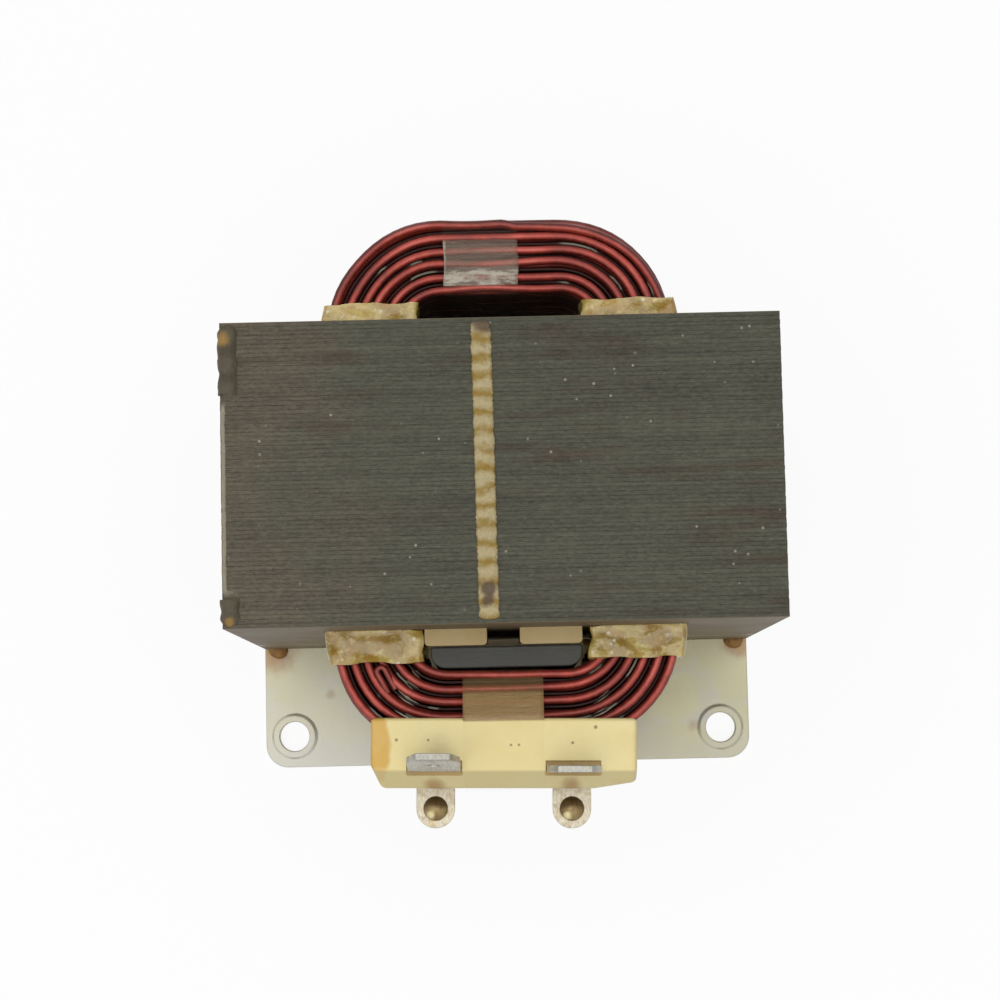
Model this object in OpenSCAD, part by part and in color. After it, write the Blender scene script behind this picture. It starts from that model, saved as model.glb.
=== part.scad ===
// Transformer: a welded E and I lamination core on a base plate, one layered
// winding of round wire round the centre limb, and a terminal block with two tabs,
// hooked over the front of the winding and held there by a band of tape.
// Millimetres. X runs across the core, Y along the lamination stack with the
// terminals at the front (-Y), Z up from the underside of the base plate.

/* [Core] */
// Width of the centre limb
limb_w = 22; // [21:1:30]
// Width of each winding window
window_w = 11; // [9:0.5:16]
// Height of each winding window
window_h = 33; // [26:1:48]
// Width of each outer limb
outer_limb_w = 11; // [8:1:16]
// Height of the yokes above and below the windows
yoke_h = 11; // [8:1:16]
// Depth of the lamination stack
stack_d = 36; // [28:1:60]
// Thickness of the insulating sheet in the joint between E and I
gap_t = 0.4; // [0.2:0.1:1.5]

/* [Base plate] */
// Thickness of the plate
plate_t = 1.2; // [0.8:0.1:3]
// How far the plate reaches in front of the core
plate_front = 16.2; // [12:0.1:24]
// How far the plate reaches behind the core
plate_rear = 8.8; // [8.8:0.1:24]
// Radius of the plate's corners
plate_corner_r = 3; // [1:0.5:4]
// Diameter of the screw holes
hole_d = 4; // [3:0.1:5]
// Distance from the sides of the plate to the screw holes
hole_side_inset = 3.9; // [3.5:0.1:8]
// Distance from the front or rear edge of the plate to the screw holes
hole_end_inset = 4.2; // [4:0.1:4.6]
// Radius of the coined rim round each screw hole
rim_r = 3.1; // [2.8:0.1:3.4]
// Height of the coined rim above the plate
rim_h = 0.25; // [0.1:0.05:0.4]

/* [Winding] */
// Diameter of the wire over its enamel
wire_d = 1.1; // [0.9:0.05:1.6]
// Thickness of the insulation between the layers
layer_paper_t = 0.5; // [0.1:0.05:0.6]
// Gap between the core and the innermost end turns, to the middle of the wire
end_standoff = 5.6; // [5.6:0.1:9]
// Radius of the innermost turn where it bends out of the windows
shoulder_r = 5.5; // [3:0.1:5.5]
// Radius of the bends in the two leads
lead_bend_r = 2.4; // [1.6:0.1:2.6]
// Length of wire that stands through each lug
lead_stub = 0.6; // [0.3:0.1:0.6]
// Clearance between the lead that rises in front of the winding and its turns
lead_gap = 0.25; // [0.1:0.05:0.5]

/* [Insulation] */
// Thickness of the slot liners
liner_t = 0.6; // [0.3:0.05:0.65]
// Clearance round the slot liners
liner_gap = 0.12; // [0.05:0.01:0.15]
// How far the slot liners reach past the core at each end
liner_reach = 4; // [2.5:0.1:5]
// Thickness of the tape bands
tape_t = 0.2; // [0.1:0.05:0.4]
// Clearance under the tape bands
tape_gap = 0.05; // [0.02:0.01:0.1]
// Gap between the front tape band and the tab on each side of it
tape_side = 0.25; // [0.15:0.05:1]
// Width of the back tape band
back_tape_w = 9.2; // [6:0.1:12]
// Middle of the back tape band across the core
back_tape_x = -2.1; // [-3:0.05:3]
// How far the grey filler board keeps inside each side of the limb
filler_side = 1.8; // [1.6:0.1:4]
// Radius of the filler board's front corners
filler_corner_r = 1.8; // [1:0.1:1.8]
// Clearance between the filler board and its neighbours
filler_gap = 0.1; // [0.05:0.01:0.2]
// Thickness of the wedges at their top
wedge_t = 2; // [1.2:0.1:2.4]
// Thickness of the wedges at their tip
wedge_tip_t = 0.8; // [0.4:0.1:1]
// Length of the wedges
wedge_l = 24; // [15:1:28]
// Gap between the two wedges
wedge_space = 4; // [2:0.1:6]
// How far the wedges stand above the winding
wedge_rise = 0.9; // [0.2:0.1:2]
// How far each wedge reaches past the end of the filler board
wedge_past = 0.3; // [0:0.1:0.5]
// Middle of the pair of wedges across the core
wedge_x = -0.35; // [-0.5:0.05:0.5]
// Radius of the wedges' front corners
wedge_corner_r = 0.5; // [0.2:0.1:0.8]

/* [Terminal block] */
// Width of the block
block_w = 31.8; // [28:0.1:35]
// Middle of the block across the core
block_x = -0.6; // [-1.5:0.05:1]
// Turn of the block about the vertical, in degrees
block_turn = -1.3; // [-2:0.1:2]
// Thickness of the ledge that lies on the winding
ledge_t = 2.8; // [2:0.1:4]
// Depth of the flat top of the block, from the ledge's rear edge
block_top_d = 6.2; // [5.5:0.1:8]
// How far the ledge lies over the winding
ledge_reach = 3.3; // [2:0.1:4.6]
// Depth of the sloping front of the block
slope_d = 2.2; // [1:0.1:3]
// Height of the sloping front of the block
slope_h = 3.2; // [1:0.1:4]
// Height of the block's front
block_h = 7.8; // [6:0.1:12]
// Width of the cut front corner at the left end
left_cut_w = 1.2; // [0.5:0.1:3]
// Depth of the cut front corner at the left end
left_cut_d = 2.8; // [0.5:0.1:4]
// Width of the cut front corner at the right end
right_cut_w = 5; // [0.5:0.1:5]
// Depth of the cut front corner at the right end
right_cut_d = 0.8; // [0.3:0.1:2]
// Clearance between the block and the winding
block_gap = 0.1; // [0.05:0.01:0.2]

/* [Terminals] */
// Distance between the two terminals
terminal_spacing = 16.6; // [16:0.1:17.4]
// Width of each tab
tab_w = 6.3; // [4.8:0.1:6.3]
// Thickness of the sheet the terminals are stamped from
tab_t = 0.8; // [0.5:0.1:0.8]
// Height of each tab above the block
tab_h = 7.9; // [6:0.1:9]
// Width of the tab's end
tab_tip_w = 4; // [3:0.1:4.7]
// Height of the taper at the tab's end
tab_taper_h = 2.4; // [1:0.1:3]
// Diameter of the locking hole in the tab
tab_hole_d = 1.7; // [1:0.1:2]
// Lean of the left tab, backwards, in degrees
left_lean = 10; // [1:1:20]
// Lean of the right tab, backwards, in degrees
right_lean = -0.5; // [-10:0.5:10]
// Clearance round each terminal in its slot
slot_gap = 0.15; // [0.05:0.05:0.2]
// Room behind and in front of each tab at the mouth of its slot
slot_relief = 0.35; // [0.2:0.05:0.5]
// Width of the solder lugs
lug_w = 4.7; // [4:0.1:6]
// How far the lugs reach in front of the block
lug_reach = 4.9; // [4.5:0.1:7]
// Distance from the end of each lug to the middle of its wire hole
lug_hole_inset = 2.4; // [2:0.1:2.8]
// Clearance of the wire in the lug
lug_hole_gap = 0.12; // [0.05:0.01:0.2]
// Radius of the solder domes
solder_r = 1.5; // [1.3:0.1:1.8]
// Height of the solder domes
solder_h = 1.1; // [1:0.1:1.3]

/* [Welds] */
// Spacing of the ripples in the weld beads
ripple = 2.2; // [1.6:0.1:2.6]
// Width of the top seam bead
seam_w = 2.7; // [2.6:0.1:4]
// Height of the top seam bead
seam_h = 0.45; // [0.2:0.05:0.8]
// Place of the top seam across the core
seam_x = -2.1; // [-6:0.1:6]
// Distance from the ends of the top seam to the ends of the stack
seam_inset = 0.3; // [0.2:0.05:3]
// Width of the joint beads
joint_bead_w = 3; // [2.6:0.1:4]
// Height of the joint beads
joint_bead_h = 0.5; // [0.2:0.05:0.8]
// Radius of the lumps at the ends of the left edge bead
lump_r = 1.35; // [1.2:0.05:1.5]
// Length of the lump at the back of the left edge bead
back_lump_l = 9.6; // [4:0.1:12]
// Length of the lump at the front of the left edge bead
front_lump_l = 4.4; // [3:0.1:8]
// How far the lumps stand out from the core's side
lump_out = 0.35; // [0.1:0.05:0.5]
// How far the lumps stand above the core's top face
lump_h = 0.75; // [0.4:0.05:0.8]
// Radius of the left edge bead between its lumps
edge_bead_r = 0.6; // [0.4:0.05:0.9]
// Radius of the tack welds at the core's feet
tack_r = 1.4; // [0.8:0.1:1.7]
// Distance of the tack welds from the core's sides
tack_inset = 1.8; // [1.5:0.1:3]

/* [Hidden] */
$fn = 64;

// Overlap that makes two solids of one piece run into each other
join = 0.02;
// How far a cutting shape reaches past what it cuts
past = 1;
// How deep a lead sinks between the turns it crosses
lead_sink = 0.2;

// Core
core_w = limb_w + 2 * (window_w + outer_limb_w);
half_w = core_w / 2;
half_d = stack_d / 2;
joint_z = plate_t + yoke_h;
window_z0 = joint_z + gap_t;
window_z1 = window_z0 + window_h;
top_z = window_z1 + yoke_h;

// Base plate
plate_y0 = -half_d - plate_front;
plate_y1 = half_d + plate_rear;
hole_x = half_w - hole_side_inset;

// Winding: as many layers and turns as the lined window holds
slot_room = 2 * (liner_t + 2 * liner_gap);
layer_pitch = wire_d + layer_paper_t;
layers = floor((window_w - slot_room + layer_paper_t) / layer_pitch);
turns = floor((window_h - slot_room) / wire_d);
wire_r = wire_d / 2;
coil_build = layers * layer_pitch - layer_paper_t;
coil_h = turns * wire_d;
coil_z0 = window_z0 + (window_h - coil_h) / 2;
coil_z1 = coil_z0 + coil_h;
// Middle of the innermost turn beside the limb, and at the end of the limb
leg_x = limb_w / 2 + (window_w - coil_build) / 2 + wire_r;
crown_y = half_d + end_standoff;
// Centre of the bend that every layer shares
shoulder_cx = leg_x - shoulder_r;
shoulder_cy = crown_y - shoulder_r;
// Outer face of the winding at its ends, and the room that the tape takes on it
coil_y = crown_y - wire_r + coil_build;
tape_room = tape_gap + tape_t;

// Filler board and wedges, as wide as the space inside the front end turns
filler_w = limb_w - 2 * filler_side;
wedge_w = (filler_w - wedge_space) / 2 + wedge_past;
wedge_pitch = wedge_w + wedge_space;
// Inner edge of the liners' ends, clear of the wedges
liner_edge_x = abs(wedge_x) + wedge_pitch - wedge_space / 2 + filler_gap;

// Terminal block, in its own frame: x from its middle, y from the winding's outer face
ledge_z = coil_z1 + block_gap;
block_top_z = ledge_z + ledge_t;
block_z0 = block_top_z - block_h;
turn_room = abs(tan(block_turn)) * (shoulder_cx + abs(block_x));
block_back = -block_gap - turn_room;
block_rear = ledge_reach;
block_front_top = block_rear - block_top_d;
block_front = block_front_top - slope_d;
slot_y = (block_back + block_front) / 2;
lug_z = block_z0 - tab_t;
lug_y = block_front - lug_reach;
lug_hole_y = lug_y + lug_hole_inset;
lug_hole_d = wire_d + 2 * lug_hole_gap;

// Front tape band, between the two tabs, with room for the block's turn
front_tape_w = terminal_spacing - tab_w - 2 * tape_side;
tape_turn_room = abs(tan(block_turn)) * front_tape_w / 2;

// Leads: both end upright in the lug holes
lead_turn = floor((lug_z - lead_bend_r - wire_d - coil_z0) / wire_d);
lead_z = coil_z0 + wire_r + lead_turn * wire_d;
start_rise_y = -coil_y - wire_r - lead_gap;
start_run_z = coil_z0 - wire_r + lead_sink;

// Place of a point of the block's own frame in the part's frame, to a hundredth
function hundredth(v) = round(v * 100) / 100;
function block_point(x, y) = [
    hundredth(block_x + x * cos(block_turn) - y * sin(block_turn)),
    hundredth(-coil_y + x * sin(block_turn) + y * cos(block_turn))
];

module in_block() {
    translate([block_x, -coil_y, 0]) rotate([0, 0, block_turn]) children();
}

// A flat plate between two heights, from a plan view outline
module plate(z0, z1) {
    translate([0, 0, z0]) linear_extrude(z1 - z0) children();
}

// A solid of one outline in X and Z, along the whole stack
module along_stack(depth) {
    translate([0, depth / 2, 0]) rotate([90, 0, 0]) linear_extrude(depth) children();
}

module plate_outline() {
    r = plate_corner_r;
    translate([-half_w, plate_y0 + r]) square([core_w, plate_y1 - plate_y0 - 2 * r]);
    translate([-half_w + r, plate_y0]) square([core_w - 2 * r, plate_y1 - plate_y0]);
    for (x = [-half_w + r, half_w - r], y = [plate_y0 + r, plate_y1 - r])
        translate([x, y]) circle(r);
}

module hole_places() {
    for (x = [-hole_x, hole_x], y = [plate_y0 + hole_end_inset, plate_y1 - hole_end_inset])
        translate([x, y, 0]) children();
}

module base_plate() {
    color("lightgray") difference() {
        union() {
            plate(0, plate_t) plate_outline();
            hole_places() translate([0, 0, plate_t - join])
                cylinder(r1 = rim_r, r2 = rim_r - rim_h, h = rim_h + join);
        }
        hole_places() translate([0, 0, -past]) cylinder(d = hole_d, h = plate_t + rim_h + 2 * past);
    }
}

module i_core() {
    color("dimgray") translate([-half_w, -half_d, plate_t]) cube([core_w, stack_d, yoke_h]);
}

module gap_sheet() {
    color("burlywood") translate([-half_w, -half_d, joint_z]) cube([core_w, stack_d, gap_t]);
}

module e_core() {
    color("dimgray") along_stack(stack_d) difference() {
        translate([-half_w, window_z0]) square([core_w, window_h + yoke_h]);
        for (x = [-limb_w / 2 - window_w, limb_w / 2])
            translate([x, window_z0 - past]) square([window_w, window_h + past]);
    }
}

// A row of weld ripples along Y: overlapping caps of the given width and height,
// standing on a face whose outward side is +Z
module weld_row(length, w, h) {
    sphere_r = (w * w / 4 + h * h) / (2 * h);
    count = round(length / ripple);
    intersection() {
        for (i = [0 : count - 1])
            translate([0, (i + 0.5) * length / count - length / 2, h - sphere_r]) sphere(sphere_r);
        translate([-w, -length, 0]) cube([2 * w, 2 * length, 2 * h]);
    }
}

module top_seam_weld() {
    length = stack_d - 2 * seam_inset - seam_w + ripple;
    color("tan") translate([seam_x, 0, top_z]) weld_row(length, seam_w, seam_h);
}

module joint_weld(side) {
    color("gray") translate([side * half_w, 0, joint_z + gap_t / 2]) rotate([0, side * 90, 0])
        weld_row(stack_d - joint_bead_w, joint_bead_w, joint_bead_h);
}

module joint_weld_left() { joint_weld(-1); }
module joint_weld_right() { joint_weld(1); }

// Lumps of weld along Y on the left top edge, between two places along the stack
module edge_lumps(y0, y1) {
    count = max(2, ceil((y1 - y0) / ripple));
    step = (y1 - y0 - 2 * lump_r) / (count - 1);
    for (i = [0 : count - 1])
        translate([lump_r - lump_out, y0 + lump_r + i * step, lump_h - lump_r]) sphere(lump_r);
}

module left_edge_weld() {
    color("slategray") translate([-half_w, 0, top_z]) difference() {
        union() {
            translate([edge_bead_r, half_d - lump_r, -edge_bead_r / 2]) rotate([90, 0, 0])
                cylinder(r = edge_bead_r, h = stack_d - 2 * lump_r);
            edge_lumps(half_d - back_lump_l, half_d);
            edge_lumps(-half_d, -half_d + front_lump_l);
        }
        translate([0, -stack_d, -yoke_h]) cube([core_w, 2 * stack_d, yoke_h]);
    }
}

module plate_tack_welds() {
    color("saddlebrown") for (x = [-1, 1] * (half_w - tack_inset), end = [-1, 1])
        intersection() {
            translate([x, end * half_d, plate_t]) sphere(tack_r);
            translate([x - tack_r, end > 0 ? half_d : -half_d - tack_r, plate_t])
                cube([2 * tack_r, tack_r, tack_r]);
        }
}

// A section, drawn from the middle of the innermost turn outwards and at its own
// height, carried along the straight stretch in the right-hand window
module along_leg() {
    translate([leg_x, shoulder_cy, 0]) rotate([90, 0, 0])
        linear_extrude(2 * shoulder_cy) children();
}

// The same section carried round the bend at the back of the right-hand window
module round_shoulder() {
    translate([shoulder_cx, shoulder_cy, 0]) rotate_extrude(angle = 90)
        translate([shoulder_r, 0]) children();
}

// The same section carried across the back end of the limb
module along_crown(w, x = 0) {
    translate([x - w / 2, crown_y, 0]) rotate([90, 0, 90]) linear_extrude(w) children();
}

// The same section carried all the way round the centre limb
module round_limb() {
    for (half = [0, 180]) rotate([0, 0, half]) {
        along_leg() children();
        round_shoulder() children();
        along_crown(2 * shoulder_cx) children();
        mirror([1, 0, 0]) round_shoulder() children();
    }
}

// Section of the winding: its outer and end turns as round wires, on one bonded bundle
// that is flat towards the limb
module bundle_section() {
    translate([0, coil_z0 + wire_r]) {
        translate([-wire_r, 0]) square([coil_build - wire_r, (turns - 1) * wire_d]);
        for (i = [0 : layers - 1], j = [0 : turns - 1])
            if (i == layers - 1 || j == 0 || j == turns - 1)
                translate([i * layer_pitch, j * wire_d]) circle(d = wire_d + join);
    }
}

// Straight wire between two heights
module wire_up(z0, z1) {
    translate([0, 0, z0]) cylinder(d = wire_d, h = z1 - z0);
}

// Straight wire along Y, between two places
module wire_back(y0, y1) {
    translate([0, y1, 0]) rotate([90, 0, 0]) cylinder(d = wire_d, h = y1 - y0);
}

// Quarter bend in the Y and Z plane: from along +Y at its start to straight up
module wire_bend(r) {
    translate([0, 0, r]) rotate([0, 90, 0]) rotate_extrude(angle = 90)
        translate([r, 0]) circle(d = wire_d);
}

// Lead that peels off the outermost layer, runs forward under the block and rises
// into a lug hole; side is the way it runs along the winding before it leaves it
module finish_lead(side, hole) {
    peel_x = hole[0] - side * lead_bend_r;
    peel_y = coil_y - wire_r;
    translate([0, 0, lead_z]) {
        translate([peel_x, -peel_y - lead_bend_r, 0]) mirror([side < 0 ? 1 : 0, 0, 0])
            rotate_extrude(angle = 90) translate([lead_bend_r, 0]) circle(d = wire_d);
        translate([hole[0], 0, 0]) wire_back(hole[1] + lead_bend_r, -peel_y - lead_bend_r);
        translate([hole[0], hole[1] + lead_bend_r, 0]) mirror([0, 1, 0]) wire_bend(lead_bend_r);
    }
    translate([hole[0], hole[1], 0]) wire_up(lead_z + lead_bend_r, lug_z + tab_t + lead_stub);
}

// Lead that comes out from the innermost layer under the winding, rises in front
// of it and swings forward in two bends under the block, into a lug hole
module start_lead(hole) {
    swing_r = (start_rise_y - hole[1]) / 2;
    swing_z = lead_z + lead_bend_r - 2 * swing_r;
    translate([hole[0], 0, 0]) {
        translate([0, 0, start_run_z]) {
            wire_back(start_rise_y + lead_bend_r, -crown_y);
            translate([0, start_rise_y + lead_bend_r, 0]) mirror([0, 1, 0]) wire_bend(lead_bend_r);
        }
        translate([0, start_rise_y, 0]) wire_up(start_run_z + lead_bend_r, swing_z);
        translate([0, start_rise_y - swing_r, swing_z + swing_r]) {
            mirror([0, 0, 1]) wire_bend(swing_r);
            mirror([0, 1, 0]) wire_bend(swing_r);
        }
        translate([0, hole[1], 0]) wire_up(swing_z + 2 * swing_r, lug_z + tab_t + lead_stub);
    }
}

module winding() {
    color("firebrick") {
        round_limb() bundle_section();
        finish_lead(-1, block_point(-terminal_spacing / 2, lug_hole_y));
        start_lead(block_point(terminal_spacing / 2, lug_hole_y));
    }
}

// Section of a slot liner: a paper cell as large as the window
module liner_section() {
    w = window_w - 2 * liner_gap;
    h = window_h - 2 * liner_gap;
    translate([limb_w / 2 + liner_gap - leg_x, window_z0 + liner_gap]) difference() {
        square([w, h]);
        translate([liner_t, liner_t]) square([w - 2 * liner_t, h - 2 * liner_t]);
    }
}

// Liner of the right-hand window, cut square at both ends, its top and bottom
// walls spread inwards past the corners of the limb
module slot_liner() {
    end_y = half_d + liner_reach;
    color("wheat") intersection() {
        union() {
            along_leg() liner_section();
            for (end = [0, 1]) mirror([0, end, 0]) {
                round_shoulder() liner_section();
                for (z = [window_z0 + liner_gap, window_z1 - liner_gap - liner_t])
                    translate([liner_edge_x, half_d + liner_gap, z])
                        cube([leg_x - liner_edge_x, liner_reach - liner_gap, liner_t]);
            }
        }
        translate([liner_edge_x, -end_y, window_z0])
            cube([limb_w / 2 + window_w - liner_edge_x, 2 * end_y, window_h]);
    }
}

module slot_liner_right() { slot_liner(); }
module slot_liner_left() { mirror([1, 0, 0]) slot_liner(); }

// Section of a tape band wrapped round the winding
module tape_section() {
    module wrap(room) {
        translate([-wire_r - room, coil_z0 - room]) square([coil_build, coil_h] + 2 * room * [1, 1]);
    }
    difference() {
        wrap(tape_room);
        wrap(tape_gap);
    }
}

module tape_back() {
    color("khaki") along_crown(back_tape_w, back_tape_x) tape_section();
}

// Line moved sideways to its left by a distance, with mitred corners
function left_of(a, b) = [a[1] - b[1], b[0] - a[0]] / norm(b - a);
function beside(line, d) = [
    for (i = [0 : len(line) - 1])
        let (
            before = left_of(line[max(i, 1) - 1], line[max(i, 1)]),
            after = left_of(line[min(i, len(line) - 2)], line[min(i, len(line) - 2) + 1])
        )
        line[i] + d * (before + after) / (1 + before * after)
];

// Section of the front band: from the winding's face under the block, down and round
// the winding, up over the block and down its front
module block_tape_section() {
    out = coil_build - wire_r;
    front = out - block_front + tape_turn_room;
    line = [
        [out, lug_z], [out, coil_z0], [-wire_r, coil_z0], [-wire_r, coil_z1],
        [out - block_rear - tape_turn_room, block_top_z],
        [front - slope_d, block_top_z], [front, block_top_z - slope_h], [front, block_z0]
    ];
    inner = beside(line, tape_gap);
    polygon(concat(beside(line, tape_room), [for (i = [len(line) - 1 : -1 : 0]) inner[i]]));
}

module tape_front() {
    color("khaki") mirror([0, 1, 0]) along_crown(front_tape_w, block_x) block_tape_section();
}

// Outline that stands on the X axis, its two far corners rounded
module rounded_tab(w, d, r) {
    intersection() {
        translate([-w / 2, 0]) square([w, d]);
        union() {
            translate([-w / 2, -r]) square([w, d]);
            translate([-w / 2 + r, 0]) square([w - 2 * r, d]);
            for (side = [-1, 1]) translate([side * (w / 2 - r), d - r]) circle(r);
        }
    }
}

// Board that fills the space behind the front end turns
module front_filler() {
    back_y = half_d + wedge_t + filler_gap;
    face_y = crown_y - wire_r - tape_room - filler_gap;
    color("dimgray") mirror([0, 1, 0]) translate([0, back_y, 0]) plate(coil_z0, coil_z1 - wire_r)
        rounded_tab(filler_w, face_y - back_y, filler_corner_r);
}

// A wedge driven down between the core and the filler, its front corners rounded
module wedge(x) {
    color("wheat") translate([x, -half_d, coil_z1 + wedge_rise]) mirror([0, 1, 0]) intersection() {
        rotate([90, 0, 90]) translate([0, 0, -wedge_w / 2]) linear_extrude(wedge_w) polygon([
            [0, 0], [wedge_t, 0], [wedge_t, -wedge_rise], [wedge_tip_t, -wedge_l], [0, -wedge_l]
        ]);
        plate(-wedge_l, 0) rounded_tab(wedge_w, wedge_t, wedge_corner_r);
    }
}

module wedge_left() { wedge(wedge_x - wedge_pitch / 2); }
module wedge_right() { wedge(wedge_x + wedge_pitch / 2); }

// Side view of the block: a hook with a sloping front
module block_profile() {
    polygon([
        [block_rear, ledge_z], [block_rear, block_top_z], [block_front_top, block_top_z],
        [block_front, block_top_z - slope_h], [block_front, block_z0], [block_back, block_z0],
        [block_back, ledge_z]
    ]);
}

// What is cut from a front corner of the block, with the corner at the origin
module corner_cut(w, d) {
    plate(block_z0 - past, block_top_z + past) polygon([
        [-past, -past], [w + past * w / d, -past], [-past, d + past * d / w]
    ]);
}

module terminal_places() {
    for (side = [-1, 1]) translate([side * terminal_spacing / 2, 0, 0]) children();
}

module terminal_block() {
    slot_w = tab_w + 2 * slot_gap;
    slot_d = tab_t + 2 * slot_gap;
    color("khaki") in_block() difference() {
        rotate([90, 0, 90]) translate([0, 0, -block_w / 2]) linear_extrude(block_w) block_profile();
        translate([-block_w / 2, block_front, 0]) corner_cut(left_cut_w, left_cut_d);
        translate([block_w / 2, block_front, 0]) mirror([1, 0, 0]) corner_cut(right_cut_w, right_cut_d);
        terminal_places() {
            translate([-slot_w / 2, slot_y - slot_d / 2, block_z0 - past])
                cube([slot_w, slot_d, block_h + 2 * past]);
            translate([-slot_w / 2, slot_y - slot_d / 2 - slot_relief, block_top_z - tab_t])
                cube([slot_w, slot_d + 2 * slot_relief, tab_t + past]);
        }
    }
}

// Side view of the bent strip: a shank up the slot and a tab that leans backwards
module strip_profile(lean) {
    half_t = tab_t / 2;
    mitre = half_t * tan(lean / 2);
    tip = [sin(lean), cos(lean)] * tab_h;
    across = [cos(lean), -sin(lean)] * half_t;
    polygon([
        [-half_t, lug_z], [half_t, lug_z], [half_t, block_top_z - mitre],
        [0, block_top_z] + tip + across, [0, block_top_z] + tip - across,
        [-half_t, block_top_z + mitre]
    ]);
}

// What is cut from the tab, seen from the front: its corners and the locking hole
module tab_cuts() {
    translate([0, tab_h / 2]) circle(d = tab_hole_d);
    for (side = [0, 1]) mirror([side, 0]) polygon([
        [tab_w / 2, tab_h - tab_taper_h], [tab_tip_w / 2, tab_h], [tab_tip_w / 2, tab_h + past],
        [tab_w / 2 + past, tab_h + past], [tab_w / 2 + past, tab_h - tab_taper_h]
    ]);
}

// One stamping: the bent strip, and a lug under the block
module terminal(side, lean) {
    color("silver") in_block() translate([side * terminal_spacing / 2, slot_y, 0]) {
        difference() {
            rotate([90, 0, 90]) translate([0, 0, -tab_w / 2]) linear_extrude(tab_w) strip_profile(lean);
            translate([0, 0, block_top_z]) rotate([90 - lean, 0, 0]) translate([0, 0, -tab_t])
                linear_extrude(2 * tab_t) tab_cuts();
        }
        plate(lug_z, lug_z + tab_t) difference() {
            union() {
                translate([-lug_w / 2, lug_y + lug_w / 2 - slot_y])
                    square([lug_w, slot_y - lug_y - lug_w / 2]);
                translate([0, lug_y + lug_w / 2 - slot_y]) circle(d = lug_w);
            }
            translate([0, lug_hole_y - slot_y]) circle(d = lug_hole_d);
        }
    }
}

module terminal_left() { terminal(-1, left_lean); }
module terminal_right() { terminal(1, right_lean); }

// Solder dome on a lug, round the end of the wire
module solder(side) {
    ball_r = (solder_r * solder_r + solder_h * solder_h) / (2 * solder_h);
    place = block_point(side * terminal_spacing / 2, lug_hole_y);
    color("darkkhaki") translate([place[0], place[1], lug_z + tab_t]) difference() {
        intersection() {
            translate([0, 0, solder_h - ball_r]) sphere(ball_r);
            cylinder(r = solder_r + past, h = solder_h + past);
        }
        translate([0, 0, -past]) cylinder(d = wire_d + 2 * join, h = lead_stub + past + join);
    }
}

module solder_left() { solder(-1); }
module solder_right() { solder(1); }

base_plate();
i_core();
gap_sheet();
e_core();
top_seam_weld();
left_edge_weld();
joint_weld_left();
joint_weld_right();
plate_tack_welds();
winding();
slot_liner_left();
slot_liner_right();
tape_front();
tape_back();
front_filler();
wedge_left();
wedge_right();
terminal_block();
terminal_left();
terminal_right();
solder_left();
solder_right();
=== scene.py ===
"""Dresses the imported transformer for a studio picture.

The CAD solids are the frame. Bonded lamination stacks, a layered round-wire winding, varnished
slot liners, film bands and weld beads stand for the solids they replace, and the moulded and
stamped pieces are the solids with softened edges. Lengths are millimetres in the part's own
frame, and become metres when a mesh is made.
"""

from __future__ import annotations

import logging
import math
from dataclasses import dataclass, field
from enum import Enum
from typing import Any, Sequence

import bmesh
import bpy
import numpy as np
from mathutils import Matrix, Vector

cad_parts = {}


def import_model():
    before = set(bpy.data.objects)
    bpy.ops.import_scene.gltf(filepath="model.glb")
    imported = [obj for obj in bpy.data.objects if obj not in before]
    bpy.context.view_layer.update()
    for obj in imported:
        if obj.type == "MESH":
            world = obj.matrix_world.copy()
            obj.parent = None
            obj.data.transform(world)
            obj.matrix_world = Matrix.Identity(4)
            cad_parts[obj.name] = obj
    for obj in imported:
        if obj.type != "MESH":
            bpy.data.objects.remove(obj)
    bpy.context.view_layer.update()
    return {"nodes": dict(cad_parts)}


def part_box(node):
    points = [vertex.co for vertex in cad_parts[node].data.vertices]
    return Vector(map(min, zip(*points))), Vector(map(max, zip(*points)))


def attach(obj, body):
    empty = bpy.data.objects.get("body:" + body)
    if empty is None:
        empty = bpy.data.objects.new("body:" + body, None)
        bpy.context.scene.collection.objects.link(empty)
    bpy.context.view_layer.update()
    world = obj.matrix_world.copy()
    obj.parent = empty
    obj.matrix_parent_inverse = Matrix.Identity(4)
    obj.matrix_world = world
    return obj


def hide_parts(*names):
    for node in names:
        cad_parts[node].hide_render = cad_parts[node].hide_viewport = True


MM = 0.001
LOG = logging.getLogger("transformer")
Array = np.ndarray
Colour = tuple[float, float, float, float]
# A stretch between two values, and a stain: its middle, its reach and what else Paint.spot takes
Run = tuple[float, float]
Stain = tuple[float, ...]
UP = np.array([0.0, 0.0, 1.0])
# Point value that carries painted light on the wires: 1 on a wire's lit top, -1 on its shaded underside
PAINTED_LIGHT = "painted_light"

# Sizes that several pieces share
CORE_HALF_W = 33.0
CORE_HALF_D = 18.0
CORE_TOP = 56.6
SHEETS = 69
SHEET_PITCH = 2 * CORE_HALF_D / SHEETS
PLATE_T = 1.2
WIRE_D = 1.1
LAYER_PITCH = 1.6
CROWN_Y = 23.6
COIL_Y = 32.15
COIL_FOOT = 13.7
COIL_TOP = 44.5
BLOCK_TOP = 47.4
RIPPLE = 2.2


def srgb(red: float, green: float, blue: float) -> Colour:
    """Turns a display colour, 0 to 255 a channel, into a linear one.

    Args:
        red, green, blue: the display colour.

    Returns:
        The linear colour with full alpha.
    """
    level = np.array([red, green, blue]) / 255.0
    linear = np.where(level <= 0.04045, level / 12.92, ((level + 0.055) / 1.055) ** 2.4)
    return (float(linear[0]), float(linear[1]), float(linear[2]), 1.0)


def unit(vectors: Array) -> Array:
    """Scales vectors to length one along their last axis."""
    return vectors / np.maximum(np.linalg.norm(vectors, axis=-1, keepdims=True), 1e-12)


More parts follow.
